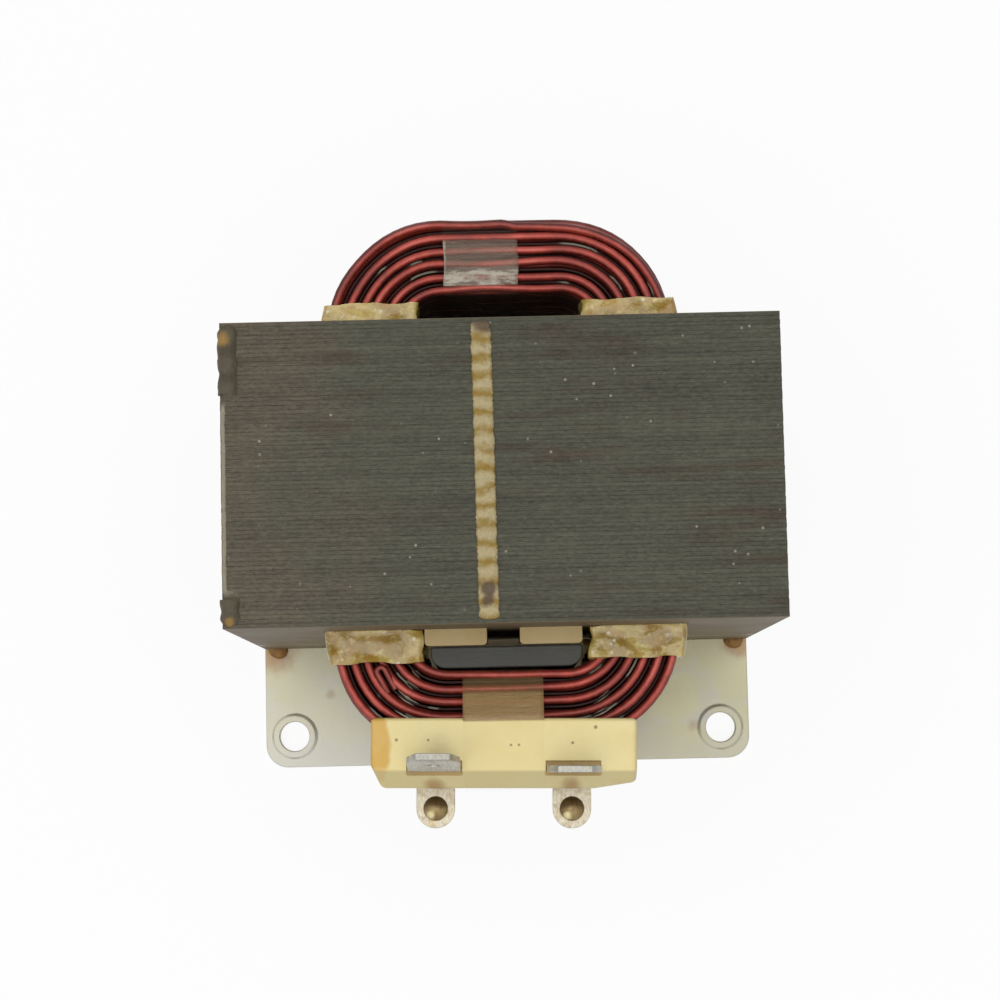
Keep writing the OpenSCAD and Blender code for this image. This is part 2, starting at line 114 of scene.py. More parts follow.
def wave_field(places: Array, seed: int, length: float, waves: int = 16) -> Array:
    """A smooth random field: the sum of plane waves with random directions and phases.

    Args:
        places: points in millimetres, along the last axis.
        seed: which field.
        length: typical distance from crest to crest.
        waves: how many waves are summed.

    Returns:
        One value a point, mostly between -1 and 1.
    """
    rng = np.random.default_rng(seed)
    heading = unit(rng.normal(size=(waves, places.shape[-1])))
    number = 2 * math.pi / length * rng.uniform(0.6, 1.6, size=(waves, 1))
    phase = rng.uniform(0, 2 * math.pi, size=waves)
    return np.sin(places @ (heading * number).T + phase).sum(axis=-1) / math.sqrt(waves)


def ease(values: Array, low: float, high: float) -> Array:
    """The smooth step 3t^2 - 2t^3, with t running from 0 at low to 1 at high."""
    t = np.clip((values - low) / (high - low), 0, 1)
    return t * t * (3 - 2 * t)


@dataclass
class Surface:
    """Faces over whole arrays of points: quads, and flat caps of any number of corners."""

    points: Array
    quads: Array
    caps: list[Array] = field(default_factory=list)

    @staticmethod
    def grid(points: Array, wrap_u: bool = False, wrap_v: bool = False) -> "Surface":
        """Joins a grid of points, each to its neighbours along both parameters.

        Args:
            points: (u, v, 3) places.
            wrap_u, wrap_v: whether the last row or column joins the first.

        Returns:
            The quads between neighbouring points.
        """
        nu, nv = points.shape[:2]
        i, j = np.meshgrid(np.arange(nu - (not wrap_u)), np.arange(nv - (not wrap_v)), indexing="ij")
        k, m = (i + 1) % nu, (j + 1) % nv
        quads = np.stack([i * nv + j, k * nv + j, k * nv + m, i * nv + m], axis=-1)
        return Surface(points.reshape(-1, 3), quads.reshape(-1, 4))

    @staticmethod
    def loft(rings: Array, closed: bool = False) -> "Surface":
        """A skin over closed rings, with a cap on the first and last unless it closes on itself.

        Args:
            rings: (stations, points round a ring, 3) places.
            closed: whether the last ring joins the first.

        Returns:
            The skin, its faces pointing outwards.
        """
        skin = Surface.grid(rings, wrap_u=closed, wrap_v=True)
        if not closed:
            around = np.arange(rings.shape[1])
            skin.caps = [around, around[::-1] + (rings.shape[0] - 1) * rings.shape[1]]
        return skin.outward()

    @staticmethod
    def group(parts: Sequence["Surface"]) -> "Surface":
        """Puts several surfaces into one.

        Args:
            parts: the surfaces.

        Returns:
            One surface with all their points and faces.
        """
        starts = np.cumsum([0] + [len(part.points) for part in parts[:-1]])
        return Surface(
            np.concatenate([part.points for part in parts]),
            np.concatenate([part.quads + start for part, start in zip(parts, starts)]),
            [cap + start for part, start in zip(parts, starts) for cap in part.caps],
        )

    def outward(self) -> "Surface":
        """Turns every face round if the closed skin holds a negative volume.

        The volume is the sum over triangles of a . (b x c) / 6, measured from the middle.

        Returns:
            The surface itself.
        """
        middle = self.points - self.points.mean(axis=0)
        a, b, c, d = (middle[self.quads[:, k]] for k in range(4))
        volume = (a * np.cross(b, c)).sum() + (a * np.cross(c, d)).sum()
        for cap in self.caps:
            ring = middle[cap]
            volume += (ring[0] * np.cross(ring[1:-1], ring[2:])).sum()
        if volume < 0:
            self.quads = self.quads[:, ::-1]
            self.caps = [cap[::-1] for cap in self.caps]
        return self

    def piece(self, name: str, smooth_deg: float = 40.0) -> bpy.types.Object:
        """Makes the mesh and its object, at the origin.

        Args:
            name: the piece's name.
            smooth_deg: edges sharper than this stay sharp.

        Returns:
            The linked object.
        """
        mesh = bpy.data.meshes.new(name)
        loops = np.concatenate([self.quads.ravel(), *self.caps]).astype(np.int32)
        sizes = np.array([4] * len(self.quads) + [len(cap) for cap in self.caps])
        starts = np.concatenate([[0], np.cumsum(sizes)[:-1]]).astype(np.int32)
        mesh.vertices.add(len(self.points))
        mesh.vertices.foreach_set("co", (self.points * MM).astype(np.float32).ravel())
        mesh.loops.add(len(loops))
        mesh.loops.foreach_set("vertex_index", loops)
        mesh.polygons.add(len(starts))
        mesh.polygons.foreach_set("loop_start", starts)
        mesh.update(calc_edges=True)
        mesh.validate()
        mesh.shade_smooth()
        mesh.set_sharp_from_angle(angle=math.radians(smooth_deg))
        obj = bpy.data.objects.new(name, mesh)
        bpy.context.scene.collection.objects.link(obj)
        return obj


def tube_rings(
    path: Array, radius: float | Array, sides: int, reference: Array, closed: bool = False,
) -> Array:
    """Circles carried along a path: centre + r (cos a n1 + sin a n2), square to the path.

    Args:
        path: (stations, 3) places of the middle of the wire.
        radius: of the wire, one value or one a station.
        sides: points round the wire.
        reference: a direction that the path never runs along; n1 is its part square to the path.
        closed: whether the path closes on itself.

    Returns:
        (stations, sides, 3) places.
    """
    step = np.roll(path, -1, 0) - np.roll(path, 1, 0) if closed else np.gradient(path, axis=0)
    along = unit(step)
    first = unit(reference - (along @ reference)[:, None] * along)
    second = np.cross(along, first)
    angle = np.linspace(0, 2 * math.pi, sides, endpoint=False)[None, :, None]
    ring = np.cos(angle) * first[:, None] + np.sin(angle) * second[:, None]
    radii = np.broadcast_to(np.asarray(radius, float), (len(path),))
    return path[:, None] + radii[:, None, None] * ring


def rounded_outline(
    low: Sequence[float], high: Sequence[float], radius: float, corner: int, side: int,
) -> Array:
    """A rectangle with round corners, counter-clockwise: four arcs joined by straight sides.

    Args:
        low, high: its two corners.
        radius: of its corners.
        corner, side: points on each arc and along each straight side.

    Returns:
        (points, 2) places.
    """
    lo, hi = np.array(low) + radius, np.array(high) - radius
    centres = np.array([[hi[0], lo[1]], [hi[0], hi[1]], [lo[0], hi[1]], [lo[0], lo[1]]])
    turn = np.radians(np.arange(4)[:, None] * 90 - 90 + np.linspace(0, 90, corner))
    arcs = centres[:, None] + radius * np.stack([np.cos(turn), np.sin(turn)], axis=-1)
    share = np.linspace(0, 1, side + 2)[1:-1, None]
    ends, starts = arcs[:, -1], np.roll(arcs[:, 0], -1, axis=0)
    runs = ends[:, None] + share * (starts - ends)[:, None]
    return np.concatenate([arcs, runs], axis=1).reshape(-1, 2)


def rounded_line(corners: Array, radius: float, corner: int, run: int) -> Array:
    """An open line with round corners: each corner p becomes (1-t)^2 a + 2t(1-t) p + t^2 b.

    Args:
        corners: (points, 2) places.
        radius: how far a and b lie from the corner, along its two sides.
        corner, run: points on each bend and on each straight run.

    Returns:
        (points, 2) places.
    """
    side = unit(np.diff(corners, axis=0))
    middle = corners[1:-1]
    before, after = middle - radius * side[:-1], middle + radius * side[1:]
    t = np.linspace(0, 1, corner)[None, 1:-1, None]
    bends = (1 - t) ** 2 * before[:, None] + 2 * t * (1 - t) * middle[:, None] + t ** 2 * after[:, None]
    starts, ends = np.concatenate([corners[:1], after]), np.concatenate([before, corners[-1:]])
    share = np.linspace(0, 1, run)[None, :, None]
    runs = starts[:, None] + share * (ends - starts)[:, None]
    return np.concatenate([runs[0], np.concatenate([bends, runs[1:]], axis=1).reshape(-1, 2)])


def blend_shaders(
    tree: bpy.types.NodeTree, factor: bpy.types.NodeSocket, first: bpy.types.Node, second: bpy.types.Node,
    output: bpy.types.Node,
) -> None:
    """Mixes two shaders into an output.

    Args:
        tree: the nodes they belong to.
        factor: the socket that gives the second shader's share.
        first, second: the shaders.
        output: the output node.
    """
    blend = tree.nodes.new("ShaderNodeMixShader")
    for source, target in zip((factor, first.outputs[0], second.outputs[0]), blend.inputs):
        tree.links.new(source, target)
    tree.links.new(blend.outputs[0], output.inputs["Surface"])


class Val:
    """One socket of a material's nodes; arithmetic on it adds Math nodes."""

    def __init__(self, paint: "Paint", socket: bpy.types.NodeSocket) -> None:
        """Keeps the socket and the node tree it belongs to."""
        self.paint = paint
        self.socket = socket

    def _math(self, operation: str, first: Any, second: Any = 0.0) -> "Val":
        """Adds one Math node and returns its result."""
        return self.paint.node("ShaderNodeMath", {"operation": operation}, {0: first, 1: second})

    def __add__(self, other: Any) -> "Val":
        """self + other."""
        return self._math("ADD", self, other)

    def __radd__(self, other: Any) -> "Val":
        """other + self."""
        return self._math("ADD", other, self)

    def __sub__(self, other: Any) -> "Val":
        """self - other."""
        return self._math("SUBTRACT", self, other)

    def __rsub__(self, other: Any) -> "Val":
        """other - self."""
        return self._math("SUBTRACT", other, self)

    def __mul__(self, other: Any) -> "Val":
        """self * other."""
        return self._math("MULTIPLY", self, other)

    def __rmul__(self, other: Any) -> "Val":
        """other * self."""
        return self._math("MULTIPLY", other, self)

    def __truediv__(self, other: Any) -> "Val":
        """self / other."""
        return self._math("DIVIDE", self, other)

    def __pow__(self, other: Any) -> "Val":
        """self to the power of other."""
        return self._math("POWER", self, other)

    def __abs__(self) -> "Val":
        """The size of self without its sign."""
        return self._math("ABSOLUTE", self)

    def floor(self) -> "Val":
        """The whole number below self."""
        return self._math("FLOOR", self)

    def fract(self) -> "Val":
        """What is left of self above the whole number below it."""
        return self._math("FRACT", self)

    def upto(self, other: Any) -> "Val":
        """The smaller of self and other."""
        return self._math("MINIMUM", self, other)

    def atleast(self, other: Any) -> "Val":
        """The larger of self and other."""
        return self._math("MAXIMUM", self, other)

    def step(self, low: float, high: float, start: float = 0.0, end: float = 1.0) -> "Val":
        """A smooth step.

        Args:
            low, high: where it begins and ends.
            start, end: its values there.

        Returns:
            The step's value.
        """
        return self.paint.node(
            "ShaderNodeMapRange",
            {"interpolation_type": "SMOOTHSTEP"},
            {"Value": self, "From Min": low, "From Max": high, "To Min": start, "To Max": end},
        )


class Paint:
    """The nodes of one material, from Object coordinates in millimetres to a Principled shader."""

    def __init__(self, name: str) -> None:
        """Starts a material with its shader, its output and its coordinates.

        Args:
            name: the material's name.
        """
        self.material = bpy.data.materials.new(name)
        self.material.use_nodes = True
        self.tree = self.material.node_tree
        self.tree.nodes.clear()
        self.output = self.tree.nodes.new("ShaderNodeOutputMaterial")
        self.shader = self.tree.nodes.new("ShaderNodeBsdfPrincipled")
        self.tree.links.new(self.shader.outputs[0], self.output.inputs["Surface"])
        metres = self.tree.nodes.new("ShaderNodeTexCoord").outputs["Object"]
        self.place = self.vector("MULTIPLY", Val(self, metres), (1 / MM, 1 / MM, 1 / MM))
        parts = self.tree.nodes.new("ShaderNodeSeparateXYZ")
        self.tree.links.new(self.place.socket, parts.inputs[0])
        self.x, self.y, self.z = (Val(self, parts.outputs[k]) for k in range(3))

    def node(self, kind: str, settings: dict[str, Any], inputs: dict[Any, Any], out: Any = 0) -> Val:
        """Adds any node.

        Args:
            kind: the node's type.
            settings: its own settings, set first.
            inputs: values or links of its sockets, by name or number.
            out: which output is wanted.

        Returns:
            That output.
        """
        made = self.tree.nodes.new(kind)
        for key, value in settings.items():
            setattr(made, key, value)
        for key, value in inputs.items():
            self.feed(made.inputs[key], value)
        return Val(self, made.outputs[out])

    def feed(self, socket: bpy.types.NodeSocket, value: Any) -> None:
        """Links a Val to a socket, or sets the socket's own value.

        Args:
            socket: the socket.
            value: a Val or a constant.
        """
        if isinstance(value, Val):
            self.tree.links.new(value.socket, socket)
        else:
            socket.default_value = value

    def vector(self, operation: str, first: Any, second: Any) -> Val:
        """Adds one Vector Math node."""
        return self.node("ShaderNodeVectorMath", {"operation": operation}, {0: first, 1: second})

    def noise(
        self, scale: float | tuple[float, float, float], detail: float = 3.0, shift: float = 0.0,
        rough: float = 0.55,
    ) -> Val:
        """Cloud noise, 0 to 1.

        Args:
            scale: features a millimetre, the same all ways or one a direction.
            detail: how many finer octaves it has.
            shift: moves the pattern, so that two noises differ.
            rough: how strong the finer octaves are.

        Returns:
            The noise's value.
        """
        ways = scale if isinstance(scale, tuple) else (scale, scale, scale)
        spaced = self.vector("MULTIPLY", self.place, ways)
        moved = self.vector("ADD", spaced, (shift, shift * 1.7, shift * 0.6))
        return self.node(
            "ShaderNodeTexNoise",
            {"noise_dimensions": "3D"},
            {"Vector": moved, "Scale": 1.0, "Detail": detail, "Roughness": rough},
        )

    def cells(self, scale: float, shift: float = 0.0) -> Val:
        """Distance to the nearest of scattered points, at a scale of cells a millimetre."""
        moved = self.vector("ADD", self.place, (shift, shift, shift))
        return self.node("ShaderNodeTexVoronoi", {"feature": "F1"}, {"Vector": moved, "Scale": scale})

    def mix(self, factor: Any, first: Any, second: Any) -> Val:
        """Mixes two colours."""
        return self.node("ShaderNodeMix", {"data_type": "RGBA"}, {0: factor, 6: first, 7: second}, 2)

    def tone(self, colour: Any, level: Any) -> Val:
        """A colour made darker or lighter by a value."""
        grey = self.node("ShaderNodeCombineXYZ", {}, {0: level, 1: level, 2: level})
        return self.vector("MULTIPLY", colour if isinstance(colour, Val) else colour[:3], grey)

    def spot(
        self, x: float, y: float, reach: float, soft: float, ragged: float = 0.0, shift: float = 0.0,
    ) -> Val:
        """A round stain seen from above: 1 at its middle, 0 past its reach.

        Args:
            x, y: its middle.
            reach: where it ends.
            soft: the width over which it fades.
            ragged: how far noise moves its edge.
            shift: which noise.

        Returns:
            The stain's strength.
        """
        away = ((self.x - x) ** 2.0 + (self.y - y) ** 2.0) ** 0.5
        if ragged:
            away = away + (self.noise(0.5, 3, shift) - 0.5) * (2 * ragged)
        return away.step(reach - soft, reach, 1.0, 0.0)

    def spots(self, stains: Sequence[Stain]) -> Val:
        """Several round stains, the strongest at each place.

        Args:
            stains: for each, what spot takes.

        Returns:
            The stains' strength.
        """
        strength = self.spot(*stains[0])
        for stain in stains[1:]:
            strength = strength.atleast(self.spot(*stain))
        return strength

    def bump(self, height: Val, depth: float, strength: float = 1.0) -> None:
        """Feeds a height, worth depth millimetres from 0 to 1, to the shader's normal."""
        relief = {"Strength": strength, "Distance": depth * MM, "Height": height}
        self.set(Normal=self.node("ShaderNodeBump", {}, relief))

    def set(self, **sockets: Any) -> None:
        """Sets or feeds the shader's sockets; an underscore in a name stands for a space."""
        for name, value in sockets.items():
            self.feed(self.shader.inputs[name.replace("_", " ")], value)

    def film(self, cover: Val) -> None:
        """Lets light through: cover is how much of the surface the film hides."""
        clear = self.tree.nodes.new("ShaderNodeBsdfTransparent")
        blend_shaders(self.tree, cover.socket, clear, self.shader, self.output)


@dataclass(frozen=True)
class Finish:
    """One finish: the nodes of a material between Object coordinates and its shader."""

    name: str

    def lay(self, p: Paint) -> None:
        """Lays the finish's own nodes, which every kind of finish does in its own way."""
        raise NotImplementedError

    def material(self) -> bpy.types.Material:
        """Builds the material.

        Returns:
            The material with this finish's nodes.
        """
        p = Paint(self.name)
        self.lay(p)
        return p.material


@dataclass(frozen=True)
class LaminationSteel(Finish):
    """Sheared edges of varnished sheets: streaks along each sheet, smudges, and plain end sheets."""

    name: str = "lamination_steel"
    pitch: float = SHEET_PITCH
    half_d: float = CORE_HALF_D
    left: Colour = srgb(88, 81, 67)
    right: Colour = srgb(75, 75, 62)
    rust: Colour = srgb(66, 52, 40)
    sheet: Colour = srgb(104, 91, 71)
    # Pale specks on the sheet edges: painted glints
    speck_glint: Colour = srgb(176, 170, 156)
    change_x: Run = (-32.0, -10.0)
    end_depth: Run = (0.08, 0.03)

    def lay(self, p: Paint) -> None:
        """Lays rows of sheet edges, streaked and worn, with painted glints in streaks and specks, and the
        faces of the end sheets.

        Args:
            p: the material's nodes.
        """
        row = (p.y + self.half_d) / self.pitch
        each = p.node("ShaderNodeTexWhiteNoise", {"noise_dimensions": "1D"}, {"W": row.floor()})
        streak = p.noise((0.12, 5.0, 0.12), 4, 3.1, 0.65)
        smudge = p.noise((0.1, 0.12, 0.12), 4, 9.0)
        band = p.noise((0.03, 0.45, 0.03), 4, 31.0)
        side = (p.x + (smudge - 0.5) * 50.0).step(*self.change_x)
        edge = p.mix(side, self.left, self.right)
        worn = p.noise((0.05, 0.35, 0.06), 4, 21.0).step(0.48, 0.66)
        worn = worn * p.noise(0.05, 2, 31.0).step(0.4, 0.6)
        edge = p.mix(worn * 0.65, edge, self.rust)
        broken = p.noise((0.5, 3.0, 0.5), 3, 27.0).step(0.35, 0.65)
        groove = 1.0 - abs(row.fract() - 0.5).step(0.26, 0.5, 0.0, 0.3) * broken
        # Painted highlight: pale streaks along the sheets
        glint_streaks = p.noise((0.07, 2.2, 0.07), 3, 40.0).step(0.62, 0.74)
        grain = p.noise((1.6, 4.0, 1.6), 3, 15.0, 0.7)
        level = each * 0.16 + streak * 0.9 + smudge * 0.4 + band * 0.5 + glint_streaks * 0.3 + grain * 1.7 - 0.9
        edge = p.tone(edge, (level * groove).atleast(0.3))
        # Pale specks: painted glints
        specks = p.cells(0.6, 9.0).step(0.06, 0.13, 1.0, 0.0) * p.noise(0.2, 3, 3.0).step(0.5, 0.6)
        edge = p.mix(specks * 0.6, edge, self.speck_glint)
        end = abs(p.y).step(self.half_d - self.end_depth[0], self.half_d - self.end_depth[1])
        face = p.tone(self.sheet, p.noise((0.08, 0.3, 0.3), 5, 4.0) * 0.6 + 0.7)
        p.set(Base_Color=p.mix(end, edge, face), Roughness=streak * 0.25 + 0.45)
        p.set(Metallic=0.1, Specular_IOR_Level=0.25)
        p.bump(streak * 0.6 + groove, 0.03)


@dataclass(frozen=True)
class PlatedSteel(Finish):
    """Zinc-plated sheet, cloudy, with varnish run out from the core's feet."""

    name: str = "plated_steel"
    base: Colour = srgb(198, 196, 184)
    varnish: Colour = srgb(189, 184, 150)
    amber: Colour = srgb(150, 104, 52)
    rust: Colour = srgb(140, 96, 66)
    core_y: Run = (-34.0, -22.0)
    right_x: Run = (0.0, 24.0)
    feet: tuple[Stain, ...] = (
        (-31.5, -18.6, 4.0, 3.2, 1.6, 3.0), (31.8, -18.4, 3.0, 2.4, 1.4, 6.0),
        (-31.5, 18.6, 3.6, 3.0, 1.5, 9.0), (31.5, 18.6, 3.6, 3.0, 1.5, 1.0),
    )
    dots: tuple[Stain, ...] = ((25.4, -29.6, 1.2, 0.9, 0.7, 15.0), (-24.0, -24.5, 1.0, 0.8, 0.6, 17.0))

    def lay(self, p: Paint) -> None:
        """Lays the cloudy zinc, the varnish on it and the stains at the feet.

        Args:
            p: the material's nodes.
        """
        cloud = p.noise(0.09, 5, 2.0)
        grain = p.noise(2.2, 3, 5.0)
        base = p.tone(self.base, cloud * 0.16 + grain * 0.06 + 0.87)
        near_core = (p.y + (p.noise(0.14, 4, 8.0) - 0.5) * 16.0).step(*self.core_y)
        right = (p.x + (cloud - 0.5) * 26.0).step(*self.right_x)
        stained = (near_core * 0.7 + right * 0.6).upto(1.0) * p.noise(0.2, 4, 13.0).step(0.26, 0.52)
        colour = p.tone(p.mix(stained, base, self.varnish), 1.0 - right * 0.1)
        colour = p.mix(p.spots(self.feet) * 0.7, colour, self.amber)
        colour = p.mix(p.spots(self.dots) * 0.35, colour, self.rust)
        p.set(Base_Color=colour, Metallic=0.35, Roughness=cloud * 0.25 + 0.36 - stained * 0.12)
        p.bump(grain * 0.5 + cloud, 0.02)


@dataclass(frozen=True)
class EnamelledWire(Finish):
    """Red enamel over copper, brown with varnish in places, with painted light: lighter on the wire's top,
    painted shade down its sides.
    """

    name: str = "enamelled_wire"
    bright: Colour = srgb(162, 62, 48)
    deep: Colour = srgb(120, 45, 37)
    brown: Colour = srgb(84, 46, 38)
    # Painted light: where along its cosine to the top the wire goes from painted shade to painted
    # highlight, and how dark and how bright
    painted_light_run: Run = (0.25, 0.97)
    painted_light_level: Run = (0.4, 1.1)

    def lay(self, p: Paint) -> None:
        """Lays the enamel's two reds and brown varnish on them, then painted light on the wire's top and
        painted shade down its sides.

        Args:
            p: the material's nodes.
        """
        run = p.noise(0.22, 4, 1.0)
        fine = p.noise(1.6, 3, 6.0)
        colour = p.mix((run * 0.7 + fine * 0.3).step(0.36, 0.66), self.deep, self.bright)
        colour = p.mix(p.noise(0.6, 4, 14.0).step(0.58, 0.74) * 0.55, colour, self.brown)
        # Painted light and shade: darker down the wire's sides, brighter on its top
        painted_light = p.node("ShaderNodeAttribute", {"attribute_name": PAINTED_LIGHT}, {}, "Fac")
        colour = p.tone(colour, painted_light.step(*self.painted_light_run, *self.painted_light_level))
        p.set(Base_Color=colour, Metallic=0.35, Roughness=fine * 0.2 + 0.3)
        p.set(Coat_Weight=run.step(0.5, 0.7) * 0.35, Coat_Roughness=0.15)
        p.bump(fine, 0.02)


@dataclass(frozen=True)
class VarnishedPaper(Finish):
    """Paper soaked and beaded with varnish: amber where it is thick, whitish where it has bubbles."""

    name: str = "varnished_paper"
    thick: Colour = srgb(166, 135, 62)
    thin: Colour = srgb(206, 181, 98)
    amber: Colour = srgb(176, 132, 40)
    bubble: Colour = srgb(230, 213, 148)
    glint: Colour = srgb(244, 238, 214)
    front_y: Run = (-20.0, -17.0)
    front_level: Run = (0.86, 1.0)

    def lay(self, p: Paint) -> None:
        """Lays pools of varnish, bubbles in them, and glints on the beads.

        Args:
            p: the material's nodes.
        """
        pool = p.noise(0.3, 4, 2.5)
        bead = p.noise(0.85, 4, 7.5)
        colour = p.mix(pool.step(0.36, 0.6), self.thick, self.thin)
        colour = p.mix(p.noise(0.45, 3, 17.0).step(0.5, 0.66) * 0.75, colour, self.amber)
        colour = p.mix(bead.step(0.56, 0.7) * 0.75, colour, self.bubble)
        level = p.y.step(*self.front_y, *self.front_level)
        colour = p.tone(colour, (p.noise(3.0, 2, 4.0) * 0.5 + 0.74) * level)
        glints = p.cells(0.9, 5.0).step(0.14, 0.3, 1.0, 0.0) * bead.step(0.46, 0.6)
        colour = p.mix(glints * 0.7, colour, self.glint)
        p.set(Base_Color=colour, Roughness=bead * 0.3 + 0.1, Coat_Weight=pool * 0.9, Coat_Roughness=0.1)
        p.bump(bead * 0.8 + pool, 0.3, 0.7)


@dataclass(frozen=True)
class LayerInsulation(Finish):
    """Varnish-soaked sheet between the layers, as dark as the shaded gaps, partly painted shade; grey-green
    where it is torn near the bends.
    """

    name: str = "layer_insulation"
    # Sheet colour: varnished paper darkened to the gaps' shade, partly painted shade
    dark: Colour = srgb(52, 31, 28)
    torn: Colour = srgb(122, 120, 106)
    torn_z: Run = (43.65, 43.85)

    def lay(self, p: Paint) -> None:
        """Lays the dark sheet and the pale flakes along its torn upper edge.

        Args:
            p: the material's nodes.
        """
        flakes = p.noise(0.28, 4, 12.0).step(0.36, 0.5) * p.z.step(*self.torn_z)
        p.set(Base_Color=p.mix(flakes * 0.85, self.dark, self.torn), Specular_IOR_Level=0.15)
        p.set(Roughness=p.noise(1.5, 3, 2.0) * 0.3 + 0.5)
        p.bump(p.noise(1.2, 3, 5.0), 0.1)


@dataclass(frozen=True)
class ClearTape(Finish):
    """Clear film over varnished wire: cloudy on top between two places along Y, nearly clear elsewhere."""

    tint: Colour
    air: Colour
    near: float
    far: float
    cover: float
    haze: float = 0.0
    white_to: float = 0.0
    # Where a painted highlight runs along the film's edge
    highlight_rim_x: float = -99.0
    inner_y: Run = (23.9, 24.2)
    top_z: Run = (44.0, 44.4)
    least: float = 0.012
    most: float = 0.94

    def lay(self, p: Paint) -> None:
        """Lays the film's tint, the air under it, a painted highlight along one edge and how much of the
        wire it hides.

        Args:
            p: the material's nodes.
        """
        out = abs(p.y)
        streak = p.noise((0.25, 2.2, 0.5), 5, 3.0, 0.65)
        cloud = p.noise((0.3, 1.1, 0.5), 5, 8.0, 0.7)
        over = p.z.step(*self.top_z) * out.step(self.far, self.far + 0.4, 1.0, 0.0)
        over = over * out.step(*self.inner_y)
        cloudy = over * out.step(self.near, self.near + 0.6)
        white = out.step(self.white_to - 0.6, self.white_to + 0.4, 1.0, 0.0) * cloud.step(0.36, 0.62)
        # Painted highlight: a pale line along the film's edge, added to the whitish air
        white = white.atleast(abs(p.x - self.highlight_rim_x).step(0.05, 0.35, 1.0, 0.0) * 0.7)
        cover = cloudy * ((streak - 0.5) * 0.6 + white * 0.45 + self.cover) + over * self.haze + self.least
        p.set(Base_Color=p.mix(white, self.tint, self.air), Roughness=streak * 0.3 + 0.15)
        p.bump(streak, 0.1)
        p.film(cover.atleast(0.0).upto(self.most))


@dataclass(frozen=True)
class CreamMoulding(Finish):
    """Cream moulded plastic, yellowed in patches, with specks."""

    base: Colour
    aged: Colour
    speck: Colour = srgb(110, 84, 40)

    def lay(self, p: Paint) -> None:
        """Lays the patches and the grain, and the marks over them.

        Args:
            p: the material's nodes.
        """
        patch = p.noise(0.12, 4, 6.0)
        grain = p.noise(4.0, 2, 2.0)
        plain = p.tone(p.mix(patch.step(0.4, 0.7) * 0.6, self.base, self.aged), grain * 0.08 + 0.96)
        p.set(Base_Color=self.marked(p, plain, patch), Roughness=patch * 0.2 + 0.38)
        p.bump(grain * 0.4 + patch, 0.05)

    def marked(self, p: Paint, colour: Val, patch: Val) -> Val:
        """Scatters specks over the plastic.

        Args:
            p: the material's nodes.
            colour: the plain plastic.
            patch: its patches.

        Returns:
            The colour with its marks.
        """
        specks = p.cells(0.42, 7.0).step(0.05, 0.09, 1.0, 0.0) * p.noise(0.3, 2, 19.0).step(0.5, 0.56)
        return p.mix(specks * 0.75, colour, self.speck)


@dataclass(frozen=True)
class BlockMoulding(CreamMoulding):
    """The block's plastic: a varnish stain at the left end, painted shade on its sides, specks, flux over
    the lugs.
    """

    stain: Colour = srgb(206, 157, 48)
    flux: Colour = srgb(150, 104, 44)
    top_z: float = BLOCK_TOP
    # Painted shade on the block's sides
    side_shade: float = 0.82
    bow: float = 0.06
    bow_y: float = -32.0
    stain_x: Run = (-14.5, -13.8)
    stain_y: Run = (-35.0, -34.2)
    smear: Stain = (-8.6, -32.6, 2.6, 2.4, 1.0, 11.0)
    dots: tuple[Stain, ...] = (
        (10.4, -30.2, 0.32), (-9.6, -31.3, 0.24), (-13.4, -31.2, 0.28),
        (0.25, -32.1, 0.22), (1.2, -32.1, 0.22), (7.6, -32.0, 0.26),
    )
    lugs: tuple[Run, ...] = ((-9.0, -37.0), (7.4, -37.3))

    def marked(self, p: Paint, colour: Val, patch: Val) -> Val:
        """Stains the left end, darkens the sides as painted shade, and adds specks and flux.

        Args:
            p: the material's nodes.
            colour: the plain plastic.
            patch: its patches.

        Returns:
            The colour with its marks.
        """
        wander = (p.noise(0.6, 3, 4.0) - 0.5) * 0.8
        bow = (p.y - self.bow_y) ** 2.0 * self.bow
        left = (p.x + wander + bow).step(*self.stain_x, 1.0, 0.0)
        stained = left * (p.y + wander).step(*self.stain_y, 0.35, 1.0)
        colour = p.mix(stained * (patch * 0.6 + 0.5), colour, self.stain)
        # Painted shade: the sides below the top are darker
        colour = p.tone(colour, p.z.step(self.top_z - 0.4, self.top_z - 0.1, self.side_shade, 1.0))
        marks = p.spot(*self.smear) * 0.22
        for x, y, r in self.dots:
            marks = marks.atleast(p.spot(x, y, r, r * 0.7) * 0.8)
        colour = p.mix(marks, colour, self.speck)
        for x, y in self.lugs:
            colour = p.mix(p.spot(x, y, 1.7, 1.3, 0.5, x) * 0.7, colour, self.flux)
        return colour


@dataclass(frozen=True)
class GreyBoard(Finish):
    """Pressed insulating board, dark grey with faint fibres."""

    name: str = "grey_board"
    base: Colour = srgb(55, 55, 50)
    fibre: Colour = srgb(74, 72, 63)

    def lay(self, p: Paint) -> None:
        """Lays the board's fibres and clouds.

        Args:
            p: the material's nodes.
        """
        fibre = p.noise((0.5, 3.0, 3.0), 4, 2.0)
        cloud = p.noise(0.25, 3, 9.0)
        colour = p.mix(fibre.step(0.5, 0.75) * 0.6, self.base, self.fibre)
        p.set(Base_Color=p.tone(colour, cloud * 0.4 + 0.8), Roughness=fibre * 0.2 + 0.5)
        p.bump(fibre, 0.04)


